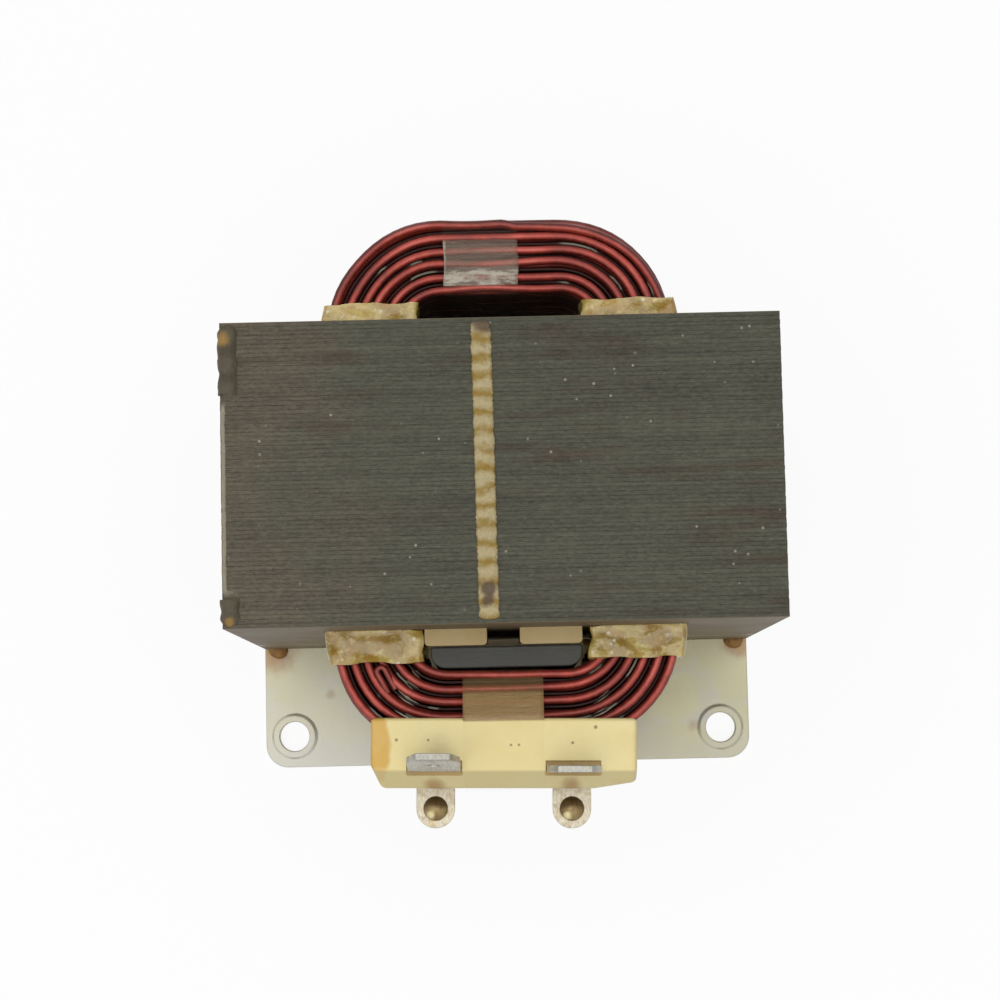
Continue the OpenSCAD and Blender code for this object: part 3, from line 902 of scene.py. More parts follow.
@dataclass(frozen=True)
class WeldMetal(Finish):
    """Weld bead under varnish, with brown where each ripple burned."""

    light: Colour
    burnt: Colour
    char: Colour
    beat: float = 0.6
    ripple: float = RIPPLE
    metal: float = 0.2
    stain: Colour = srgb(172, 134, 66)
    stains: tuple[Stain, ...] = ()
    chars: tuple[Stain, ...] = ()

    def lay(self, p: Paint) -> None:
        """Lays the burnt ripples, charred places and stains.

        Args:
            p: the material's nodes.
        """
        phase = (p.y / self.ripple + (p.noise(0.5, 3, 3.0) - 0.5) * 0.9).fract()
        blotch = p.noise(0.8, 4, 8.0)
        low = 0.35 + self.beat * 0.35
        mask = (abs(phase - 0.5) * (2.0 * self.beat) + blotch).step(low, low + 0.65)
        colour = p.mix(mask, self.light, self.burnt)
        colour = p.mix(p.noise(0.6, 4, 17.0).step(0.6, 0.74) * 0.4, colour, self.char)
        for x, y, r in self.chars:
            colour = p.mix(p.spot(x, y, r, r * 0.5, 0.7, y) * 0.85, colour, self.char)
        for x, y, r in self.stains:
            colour = p.mix(p.spot(x, y, r, r * 0.8, 0.5, y) * 0.7, colour, self.stain)
        fine = p.noise(2.5, 4, 1.0, 0.65)
        p.set(Base_Color=p.tone(colour, blotch * 0.4 + fine * 0.5 + 0.55), Roughness=blotch * 0.3 + 0.4)
        p.set(Metallic=self.metal, Specular_IOR_Level=0.3)
        p.bump(blotch + fine * 0.8, 0.2)


@dataclass(frozen=True)
class TinnedMetal(Finish):
    """Tinned brass stamping or solder: scuffed, browned by flux where it was heated, with painted
    highlights and painted shade on the solder.
    """

    tin: Colour
    brass: Colour
    flux: Colour
    bare: float
    heat: float
    # Brown on the back of the solder: flux and painted shade
    flux_and_shade_back: float = 0.0
    row_y: float = -39.77
    row_slope: float = 0.0229
    heat_z: Run = (42.0, 46.0)
    tip_z: Run = (53.6, 54.8)
    tip_level: float = 0.72
    scuffs: float = 0.6
    # Painted highlights: bright spots on the solder domes
    painted_highlight: Colour = srgb(236, 224, 176)
    painted_highlights: tuple[Stain, ...] = ()

    def lay(self, p: Paint) -> None:
        """Lays bare brass in the tin, flux on what was heated, flux with painted shade on the back, scuffs
        and painted highlights.

        Args:
            p: the material's nodes.
        """
        scuff = p.noise((5.0, 1.6, 0.9), 4, 4.0)
        cloud = p.noise(0.7, 4, 2.0)
        colour = p.mix(cloud.step(0.62 - self.bare * 0.4, 0.82 - self.bare * 0.4), self.tin, self.brass)
        low = p.z.step(*self.heat_z, 1.0, 0.0)
        colour = p.mix((low * self.heat).upto(1.0), colour, self.brass)
        burnt = p.noise(0.9, 3, 9.0).step(0.46, 0.64) * low
        colour = p.mix(burnt * self.heat, colour, self.flux)
        # The back of the solder dome: brown flux together with painted shade
        behind = p.y - self.row_y + p.x * self.row_slope + (cloud - 0.5) * 0.8
        colour = p.mix(behind.step(-0.3, 0.5) * self.flux_and_shade_back, colour, self.flux)
        # Painted highlights on the domes' lower left
        for x, y, r in self.painted_highlights:
            colour = p.mix(p.spot(x, y, r, r * 0.8, 0.4, x) * 0.8, colour, self.painted_highlight)
        level = (scuff * self.scuffs + 0.96 - self.scuffs / 2) * p.z.step(*self.tip_z, 1.0, self.tip_level)
        p.set(Base_Color=p.tone(colour, level), Metallic=0.6, Roughness=scuff * 0.3 + 0.34)
        p.bump(scuff, 0.05)


class Slot(Enum):
    """The record's material slots, one named for each piece."""

    PLATE = "plated_steel"
    CORE = "core_steel"
    WELD = "weld_metal"
    WIRE = "enamelled_wire"
    PAPER = "varnished_paper"
    TAPE = "clear_tape"
    BOARD = "grey_board"
    CREAM = "cream_plastic"
    TERMINAL = "tinned_brass"


def finish_piece(obj: bpy.types.Object, paint: bpy.types.Material, slot: Slot, *nodes: str) -> None:
    """Gives a piece its material, its body and the nodes it stands for, and logs it.

    Args:
        obj: the piece.
        paint: its material.
        slot: not used.
        nodes: the CAD nodes that it replaces.
    """
    obj.data.materials.clear()
    obj.data.materials.append(paint)
    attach(obj, "root")
    if nodes:
        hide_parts(*nodes)
    stands = ", ".join(nodes) or "nothing"
    LOG.info("%s: %d faces, stands for %s", obj.name, len(obj.data.polygons), stands)


@dataclass
class SoftenedSolids:
    """CAD solids shown with their edges rounded over: a merged copy of each, with a Bevel modifier."""

    nodes: dict[str, bpy.types.Object]
    segments: int = 3
    sharp_deg: float = 32.0
    # How a solid's triangles are joined, and how its outside is found
    flat_deg: float = 0.6
    merge_m: float = 1e-6
    headings: int = 6000
    seed: int = 5

    def show(
        self, node: str, width: float, paint: bpy.types.Material, slot: Slot, inner: float = 0.0,
    ) -> None:
        """Copies a node's mesh, merges its points, joins flat faces and rounds its sharp edges.

        Args:
            node: the CAD node.
            width: of the rounding, in millimetres.
            paint, slot: its finish.
            inner: the rounding of edges that are not on the outside, where it differs.
        """
        mesh = self.nodes[node].data.copy()
        work = bmesh.new()
        work.from_mesh(mesh)
        bmesh.ops.remove_doubles(work, verts=work.verts, dist=self.merge_m)
        flat = math.radians(self.flat_deg)
        bmesh.ops.dissolve_limit(work, angle_limit=flat, verts=work.verts, edges=work.edges)
        work.to_mesh(mesh)
        work.free()
        for name in [a.name for a in mesh.attributes if a.name == "custom_normal"]:
            mesh.attributes.remove(mesh.attributes[name])
        mesh.name = f"{node}_shown"
        mesh.shade_smooth()
        mesh.set_sharp_from_angle(angle=math.radians(self.sharp_deg))
        share = np.where(self.outside(mesh), 1.0, inner / width if inner else 1.0) * self.sharp(mesh)
        weights = mesh.attributes.new("bevel_weight_edge", "FLOAT", "EDGE")
        weights.data.foreach_set("value", share.astype(np.float32))
        obj = bpy.data.objects.new(f"{node}_shown", mesh)
        bpy.context.scene.collection.objects.link(obj)
        edge = obj.modifiers.new("rounded_edges", "BEVEL")
        edge.width = width * MM
        edge.segments = self.segments
        edge.limit_method = "WEIGHT"
        edge.harden_normals = True
        finish_piece(obj, paint, slot, node)

    def sharp(self, mesh: bpy.types.Mesh) -> Array:
        """Finds the edges that are marked sharp.

        Args:
            mesh: the mesh.

        Returns:
            Whether each edge is sharp.
        """
        held = np.zeros(len(mesh.edges), dtype=bool)
        mesh.edges.foreach_get("use_edge_sharp", held)
        return held

    def outside(self, mesh: bpy.types.Mesh) -> Array:
        """Finds the edges between two outer corners: points that lie farthest out along some heading.

        Args:
            mesh: the mesh.

        Returns:
            Whether each edge is on the outside.
        """
        points = np.empty(len(mesh.vertices) * 3)
        mesh.vertices.foreach_get("co", points)
        heading = unit(np.random.default_rng(self.seed).normal(size=(self.headings, 3)))
        corner = np.zeros(len(mesh.vertices), dtype=bool)
        corner[np.argmax(points.reshape(-1, 3) @ heading.T, axis=0)] = True
        ends = np.empty(len(mesh.edges) * 2, dtype=np.int32)
        mesh.edges.foreach_get("vertices", ends)
        return corner[ends.reshape(-1, 2)].all(axis=1)


@dataclass
class Core:
    """The two lamination stacks: thin sheets, each sheared a little differently."""

    half_w: float = CORE_HALF_W
    half_d: float = CORE_HALF_D
    limb: float = 11.0
    window: float = 22.0
    plate_t: float = PLATE_T
    joint_z: float = 12.2
    window_z0: float = 12.6
    window_z1: float = 45.6
    top_z: float = CORE_TOP
    pitch: float = SHEET_PITCH
    slack: float = 0.035
    burr: float = 0.016
    smooth_deg: float = 20.0

    def stack(self, outline: Array, seed: int) -> Surface:
        """Sheets along Y: each is the outline at four stations, drawn in by the burr at its two faces.

        The outline's points move inwards by the burr times the sum of their two sides' normals,
        and each sheet is shifted inwards by its own random share of the slack.

        Args:
            outline: (points, 2) places in X and Z, counter-clockwise, square cornered.
            seed: which random shifts.

        Returns:
            All sheets as one surface.
        """
        side = np.roll(outline, -1, axis=0) - outline
        inward = unit(np.stack([-side[:, 1], side[:, 0]], axis=-1))
        draw = inward + np.roll(inward, 1, axis=0)
        rng = np.random.default_rng(seed)
        count = round(2 * self.half_d / self.pitch)
        shift = rng.uniform(0, self.slack, size=(count, 1, 1, 2))
        inset = self.burr * np.array([1.0, 0.0, 0.0, 1.0])[None, :, None, None]
        flat = outline[None, None] + draw[None, None] * (inset + shift)
        start = -self.half_d + np.arange(count) * self.pitch
        across = np.array([0.0, self.burr, self.pitch - self.burr, self.pitch])
        y = np.broadcast_to((start[:, None] + across)[:, :, None], flat.shape[:3])
        rings = np.stack([flat[..., 0], y, flat[..., 1]], axis=-1)
        return Surface.group([Surface.loft(sheet) for sheet in rings])

    def build(self, paint: bpy.types.Material) -> None:
        """Builds the E stack and the I stack.

        Args:
            paint: their material.
        """
        w, m, v = self.half_w, self.limb, self.window
        low, high, top = self.window_z0, self.window_z1, self.top_z
        e_outline = np.array([
            [-w, low], [-v, low], [-v, high], [-m, high], [-m, low], [m, low],
            [m, high], [v, high], [v, low], [w, low], [w, top], [-w, top],
        ])
        i_outline = np.array([[-w, self.plate_t], [w, self.plate_t], [w, self.joint_z], [-w, self.joint_z]])
        for letter, outline, seed in (("e", e_outline, 11), ("i", i_outline, 12)):
            obj = self.stack(outline, seed).piece(f"{letter}_stack", self.smooth_deg)
            finish_piece(obj, paint, Slot.CORE, f"{letter}_core")


@dataclass
class Hairpin:
    """A slack loop of wire at the front left: two legs joined by a half circle, diving between turns."""

    end: Run = (-15.2, -22.9)
    heading: Run = (1.15, -2.2)
    leg: Run = (0.2, 2.6)
    half_w: float = 0.5
    wire_r: float = 0.4
    top_z: float = COIL_TOP
    dive: float = 0.42
    dive_power: float = 1.3
    # Painted light: how strongly the loop's top is lit and its underside shaded in paint
    painted_brightness: float = 0.6
    leg_points: int = 8
    bend_points: int = 13
    sides: int = 10

    def skin(self) -> tuple[Surface, Array]:
        """A round wire along end + reach * along + aside * across.

        On the legs reach runs between their two ends and aside is half the loop's width either
        way. Round the bend reach is -half_w sin a and aside half_w cos a. The wire dives by a
        power of reach.

        Returns:
            The wire, and the painted light of the points round it: lit on top, shaded underneath.
        """
        near, far = self.leg
        along = unit(np.array(self.heading))
        across = np.array([-along[1], along[0]])
        a = np.linspace(0, math.pi, self.bend_points)
        leg, one = np.linspace(far, near, self.leg_points), np.ones(self.leg_points)
        reach = np.concatenate([leg, -self.half_w * np.sin(a), leg[::-1]])
        aside = self.half_w * np.concatenate([one, np.cos(a), -one])
        flat = np.array(self.end) + reach[:, None] * along + aside[:, None] * across
        z = self.top_z - self.dive * np.maximum(reach, 0) ** self.dive_power / far
        path = np.concatenate([flat, z[:, None]], axis=1)
        around = np.linspace(0, 2 * math.pi, self.sides, endpoint=False)
        return Surface.loft(tube_rings(path, self.wire_r, self.sides, UP)), np.cos(around) * self.painted_brightness


@dataclass
class Winding:
    """Six layers of round wire on a racetrack round the limb, with sheets between them and two leads."""

    # The innermost turn, the layers and the wire
    leg_x: float = 12.5
    crown_y: float = CROWN_Y
    shoulder_r: float = 5.5
    half_d: float = CORE_HALF_D
    z0: float = COIL_FOOT
    layers: int = 6
    turns: int = 28
    layer_pitch: float = LAYER_PITCH
    wire_d: float = WIRE_D
    radius_share: float = 0.485
    sides: int = 10
    leg_points: int = 10
    arc_points: int = 16
    crown_points: int = 14
    # How the turns stray from even layers
    pulls: tuple[float, float, float, float] = (0.2, -0.2, -0.6, -0.1)
    bulge: float = 0.2
    bulge_run: float = 2.0
    step: float = 0.45
    step_x: Run = (0.5, 2.5)
    loose: float = 0.05
    loose_edge: float = 0.16
    free_run: Run = (-0.5, 3.0)
    wander: float = 16.0
    farthest: float = 0.85
    farthest_crown: float = 0.22
    rise_share: float = 0.25
    rise_wander: float = 19.0
    rise_shift: float = 50.0
    film_x: float = -1.0
    film_reach: Run = (9.0, 6.0)
    film_hold: float = 0.85
    # Painted shade: how far the painted light turns off the top of the outermost layer at the back
    back_shade: float = 0.9
    # The sheets between the layers, and their torn edges
    sheet_t: float = 0.24
    sheet_drop: float = -0.95
    sheet_foot: float = 0.5
    sheet_loose: float = 0.03
    first_sheet: tuple[float, float, float, float] = (-0.33, 0.05, -1.3, 0.0)
    torn_rise: float = 0.55
    torn_x: Run = (6.0, 10.0)
    torn_length: float = 5.0
    torn_from: Run = (0.55, 0.95)
    # The two leads
    lead_bend_r: float = 2.4
    lead_sides: int = 12
    lead_past: float = 0.5
    lead_start: float = 0.5
    lead_gap: float = 0.25
    lead_sink: float = 0.2
    lug_t: float = 0.8
    # Edges sharper than these stay sharp
    smooth_deg: float = 80.0
    sheet_deg: float = 50.0

    def racetrack(self) -> tuple[Array, Array]:
        """The innermost turn's middle line: two legs, two crowns and four quarter bends.

        Half of it is a leg, a bend, a crown and a bend, and the other half is the same turned
        half round. Every outer turn is this line moved along its outward normal.

        Returns:
            (points, 2) places and (points, 2) outward normals.
        """
        r = self.shoulder_r
        cx, cy = self.leg_x - r, self.crown_y - r
        leg_y = np.linspace(-cy, cy, self.leg_points + 2)[1:-1]
        crown_x = np.linspace(cx, -cx, self.crown_points + 2)[1:-1]
        turns = np.radians(np.array([[0.0], [90.0]]) + np.linspace(0, 90, self.arc_points))
        right, left = np.stack([np.cos(turns), np.sin(turns)], axis=-1)
        leg = np.stack([np.full_like(leg_y, self.leg_x), leg_y], axis=-1)
        crown = np.stack([crown_x, np.full_like(crown_x, self.crown_y)], axis=-1)
        aside, ahead = np.tile([1.0, 0.0], (len(leg), 1)), np.tile([0.0, 1.0], (len(crown), 1))
        half = np.concatenate([leg, np.array([cx, cy]) + r * right, crown, np.array([-cx, cy]) + r * left])
        out = np.concatenate([aside, right, ahead, left])
        return np.concatenate([half, -half]), np.concatenate([out, -out])

    def turn_path(self, layer: float, height: float, seed: int, loose: float) -> Array:
        """One turn: the racetrack moved out by its layer, drawn in at the shoulders, a little uneven.

        The move is layer * pitch - pull * layer share * sin(2a)^2 at the bends, where a is the
        normal's angle and pull one of four (back left, back right, front left, front right), plus
        a bulge of the outermost layer at the back, whose top turn steps in on the right, plus a
        random field that fades out inside the windows. Heights are even under the films.

        Args:
            layer: counted from the limb.
            height: of the wire's middle.
            seed: which unevenness.
            loose: how far it wanders at the ends.

        Returns:
            (points, 3) places.
        """
        base, out = self.racetrack()
        angle = np.arctan2(out[:, 1], out[:, 0])
        bend = 2 * (base[:, 1] < 0) + (base[:, 0] > 0)
        pull = np.array(self.pulls)[bend] * layer / (self.layers - 1)
        nominal = layer * self.layer_pitch
        move = nominal - pull * np.sin(2 * angle) ** 2
        outermost, top = layer > self.layers - 1.5, height > self.z0 + self.wire_d * (self.turns - 1)
        behind = ease(base[:, 1], self.crown_y - self.bulge_run, self.crown_y) * outermost
        move = move + behind * (self.bulge - self.step * top * ease(base[:, 0], *self.step_x))
        free = ease(np.abs(base[:, 1]), self.half_d + self.free_run[0], self.half_d + self.free_run[1])
        place = np.concatenate([base, np.full((len(base), 1), height)], axis=1)
        move = move + loose * free * wave_field(place, seed, self.wander)
        move = np.minimum(move, nominal + self.farthest)
        straight = np.abs(out[:, 1]) > 0.99
        move = np.where(straight, np.minimum(move, nominal + self.farthest_crown), move)
        uneven = wave_field(place + self.rise_shift, seed + 1, self.rise_wander)
        held = self.film_hold * free * ease(np.abs(base[:, 0] - self.film_x), *self.film_reach)
        rise = loose * (self.rise_share + free) * uneven * (1 - held)
        return np.concatenate([base + out * move[:, None], (height + rise)[:, None]], axis=1)

    def turn_list(self) -> list[tuple[int, int]]:
        """Lists the wires that can be seen from some side.

        Returns:
            Their layer and turn numbers.
        """
        sides, edges = {0, self.layers - 1}, {0, 1, self.turns - 2, self.turns - 1}
        every = ((i, j) for i in range(self.layers) for j in range(self.turns))
        return [(i, j) for i, j in every if i in sides or j in edges]

    def wires(self) -> tuple[Surface, Array]:
        """All turns that show, as closed round wires.

        Returns:
            The wires, and for each point the cosine of its angle from the wire's painted-light side, which
            is up, and turned inwards on the outermost layer at the back as painted shade.
        """
        radius = self.wire_d * self.radius_share
        around = np.linspace(0, 2 * math.pi, self.sides, endpoint=False)
        made, painted_light_values = [], []
        for i, j in self.turn_list():
            loose = self.loose_edge if j in (0, self.turns - 1) else self.loose
            path = self.turn_path(i, self.z0 + self.wire_d * (j + 0.5), 31 * i + 7 * j, loose)
            made.append(Surface.loft(tube_rings(path, radius, self.sides, UP, True), True))
            # Painted shade on the outermost layer at the back: its painted light turns inwards
            shade = self.back_shade * (i == self.layers - 1) * ease(path[:, 1], self.half_d, self.crown_y)
            painted_light_values.append(np.cos(around + shade[:, None]).ravel())
        return Surface.group(made), np.concatenate(painted_light_values)

    def painted_light_values(self, obj: bpy.types.Object, values: Array) -> None:
        """Keeps the painted light on each point of a wire: 1 on its painted-highlight side, -1 on its
        painted-shade side.
        """
        held = obj.data.attributes.new(PAINTED_LIGHT, "FLOAT", "POINT")
        held.data.foreach_set("value", np.resize(values, len(obj.data.vertices)).astype(np.float32))

    def sheets(self) -> Surface:
        """Insulation: a dark sheet inside the first layer and one between each two layers.

        The upper edge of a sheet is its drop under the winding's top, and stands higher here and
        there near the bends, where a random field passes a threshold.

        Returns:
            All sheets as one surface.
        """
        made = []
        top = self.z0 + self.turns * self.wire_d
        between = [(i + 0.5, self.sheet_t, self.sheet_drop, self.torn_rise) for i in range(self.layers - 1)]
        out = self.racetrack()[1]
        for k, (layer, thick, drop, torn) in enumerate([self.first_sheet, *between]):
            path = self.turn_path(layer, top, 400 + k, self.sheet_loose)
            near = ease(np.abs(path[:, 0]), *self.torn_x) * (np.abs(path[:, 1]) > self.half_d)
            ragged = ease(wave_field(path, 500 + k, self.torn_length), *self.torn_from)
            low, high = np.full(len(path), self.z0 + self.sheet_foot), top + drop + torn * near * ragged
            inner, outer = path[:, :2] - out * thick / 2, path[:, :2] + out * thick / 2
            corners = [(inner, low), (outer, low), (outer, high), (inner, high)]
            ring = np.stack([np.concatenate([flat, z[:, None]], axis=1) for flat, z in corners], axis=1)
            made.append(Surface.loft(ring, True))
        return Surface.group(made)

    def bend(self, centre: Array, first: Array, second: Array, radius: float) -> Array:
        """A quarter circle: centre + r (cos a first + sin a second), a from 0 to 90 degrees."""
        a = np.linspace(0, math.pi / 2, 10)[:, None]
        return centre + radius * (np.cos(a) * first + np.sin(a) * second)

    def leads(self) -> Surface:
        """The two leads, along the solid's own lines: off the winding, forward, up into the lugs.

        Returns:
            Two round wires along straight runs and quarter bends.
        """
        x, y, z = np.eye(3)
        r = self.lead_bend_r
        feet = {side: np.array(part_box(f"solder_{side}")) / MM for side in ("left", "right")}
        top = feet["left"][0, 2] + self.lead_past
        lug_z = feet["left"][0, 2] - self.lug_t
        outer = self.crown_y + (self.layers - 1) * self.layer_pitch
        lead_turn = math.floor((lug_z - r - self.wire_d - self.z0) / self.wire_d)
        lead_z = self.z0 + self.wire_d * (lead_turn + 0.5)
        left, right = feet["left"].mean(axis=0), feet["right"].mean(axis=0)
        off = self.bend(np.array([left[0] + r, -outer - r, lead_z]), y, -x, r)
        rise = self.bend(np.array([left[0], left[1] + r, lead_z + r]), -z, -y, r)
        finish = np.concatenate([off, rise, [[left[0], left[1], top]]])
        rise_y = -outer - self.wire_d - self.lead_gap
        run_z = self.z0 - self.wire_d / 2 + self.lead_sink
        swing = (rise_y - right[1]) / 2
        swing_z = lead_z + r - 2 * swing
        under = self.bend(np.array([right[0], rise_y + r, run_z + r]), -z, -y, r)
        lean = self.bend(np.array([right[0], rise_y - swing, swing_z]), y, z, swing)
        stand = self.bend(np.array([right[0], rise_y - swing, swing_z + 2 * swing]), -z, -y, swing)
        first, last = [[right[0], -self.crown_y - self.lead_start, run_z]], [[right[0], right[1], top]]
        start = np.concatenate([first, under, lean, stand, last])
        radius = self.wire_d * self.radius_share
        return Surface.group([
            Surface.loft(tube_rings(path, radius, self.lead_sides, reference))
            for path, reference in ((finish, unit(x + z)), (start, x))
        ])

    def build(self, wire: bpy.types.Material, insulation: bpy.types.Material) -> None:
        """Builds turns, leads, the slack loop and the sheets between the layers.

        Args:
            wire: the material of the wires.
            insulation: the material of the sheets.
        """
        pieces = {
            "wire_turns": self.wires(),
            # The leads take the painted highlight all round
            "wire_leads": (self.leads(), np.ones(1)),
            "wire_hairpin": Hairpin().skin(),
        }
        # Each wire piece keeps its painted light values
        for name, (skin, bright) in pieces.items():
            obj = skin.piece(name, self.smooth_deg)
            self.painted_light_values(obj, bright)
            finish_piece(obj, wire, Slot.WIRE, "winding")
        finish_piece(self.sheets().piece("layer_sheets", self.sheet_deg), insulation, Slot.PAPER, "winding")


@dataclass
class SlotLiners:
    """Paper cells in the two windows, lumpy with varnish where they stand out of the core."""

    # The cell, and the winding's bend that it follows
    inner_x: float = 11.12
    outer_x: float = 21.88
    edge_x: float = 9.95
    z0: float = 12.72
    z1: float = 45.48
    end_y: float = 22.0
    wall: float = 0.6
    bend_x: float = 7.0
    bend_y: float = 18.1
    core_y: float = CORE_HALF_D
    inside_y: float = 17.0
    rim: float = 0.06
    rows: int = 10
    corner_r: float = 0.7
    corner_points: int = 6
    side_points: int = 16
    # Spread walls, lumps and frayed ends
    flap: Run = (0.7, 0.3)
    free_run: Run = (0.1, 1.2)
    lump: float = 0.24
    lump_length: float = 3.2
    lump_sink: float = 0.2
    lump_range: Run = (-1.4, 0.7)
    wall_share: float = 0.93
    fray: float = 0.22
    fray_length: float = 4.0
    fray_sink: float = 0.4
    fray_range: Run = (-1.0, 0.2)
    smooth_deg: float = 60.0

    def section(self) -> tuple[Array, Array]:
        """The cell's rounded rectangle, carried along Y outside and back inside.

        Returns:
            (stations,) places along Y and (stations, points, 2) places in X and Z.
        """
        ends = np.linspace(-self.end_y, -self.core_y - 2 * self.rim, self.rows)
        rim = np.array([self.core_y + self.rim])
        inside = np.linspace(-self.inside_y, self.inside_y, self.rows)
        y = np.concatenate([ends, -rim, inside, rim, -ends[::-1]])
        low, high = np.array([self.inner_x, self.z0]), np.array([self.outer_x, self.z1])
        points = (self.corner_points, self.side_points)
        outer = rounded_outline(low, high, self.corner_r, *points)
        inner = rounded_outline(low + self.wall, high - self.wall, self.corner_r * 0.5, *points)
        flat = np.concatenate([np.repeat(ring[None], len(y), axis=0) for ring in (outer, inner)])
        return np.concatenate([y, y[::-1]]), flat

    def build_one(self, name: str, node: str, side: int, paint: bpy.types.Material, seed: int) -> None:
        """One cell: its section's outside and inside, closed both ways.

        Past the window each point follows its own circle round the winding's bend,
        x' = bend + sqrt((x - bend)^2 - (|y| - bend_y)^2). Its top and bottom walls are spread inwards
        to a straight edge instead, and the outside swells with a random field.

        Args:
            name, node: the piece and the solid it replaces.
            side: 1 for the right window, -1 for the left.
            paint: its material.
            seed: which lumps.
        """
        y, section = self.section()
        across, up = section[..., 0], section[..., 1]
        hidden = (np.arange(len(y)) >= len(y) // 2)[:, None]
        past = np.maximum(np.abs(y) - self.bend_y, 0)[:, None]
        edge = self.edge_x + hidden * self.wall
        circle = np.sqrt(np.maximum((across - self.bend_x) ** 2 - past ** 2, 0))
        curve = np.maximum(self.bend_x + circle, edge)
        near, far = across.min(axis=1, keepdims=True), across.max(axis=1, keepdims=True)
        spread = edge + (across - near) / (far - near) * (curve.max(axis=1, keepdims=True) - edge)
        mid_z, half_z = (self.z0 + self.z1) / 2, (self.z1 - self.z0) / 2
        flap = ease(np.abs(up - mid_z), half_z - self.flap[0], half_z - self.flap[1]) * (past > 0.01)
        x = curve + flap * (spread - curve)
        rings = np.stack([x, np.repeat(y[:, None], x.shape[1], 1), up], axis=-1)
        away = rings - np.array([(self.inner_x + self.outer_x) / 2, 0, mid_z])
        away[..., 1] = 0
        free = ease(np.abs(rings[..., 1]), self.core_y + self.free_run[0], self.core_y + self.free_run[1])
        lumps = (wave_field(rings, seed, self.lump_length) - self.lump_sink).clip(*self.lump_range)
        share = np.abs(away) / np.abs(away).max(axis=(0, 1)).clip(1e-6)
        outwards = np.sign(away) * (share > self.wall_share)
        rings = rings + (self.lump * lumps * free * ~hidden)[..., None] * outwards
        frayed = (wave_field(rings, seed + 9, self.fray_length) - self.fray_sink).clip(*self.fray_range)
        rings[..., 1] += self.fray * free * np.sign(rings[..., 1]) * frayed
        rings[..., 0] *= side
        finish_piece(Surface.loft(rings, True).piece(name, self.smooth_deg), paint, Slot.PAPER, node)

    def build(self, paint: bpy.types.Material) -> None:
        """Builds both cells."""
        self.build_one("paper_cell_right", "slot_liner_right", 1, paint, 71)
        self.build_one("paper_cell_left", "slot_liner_left", -1, paint, 83)


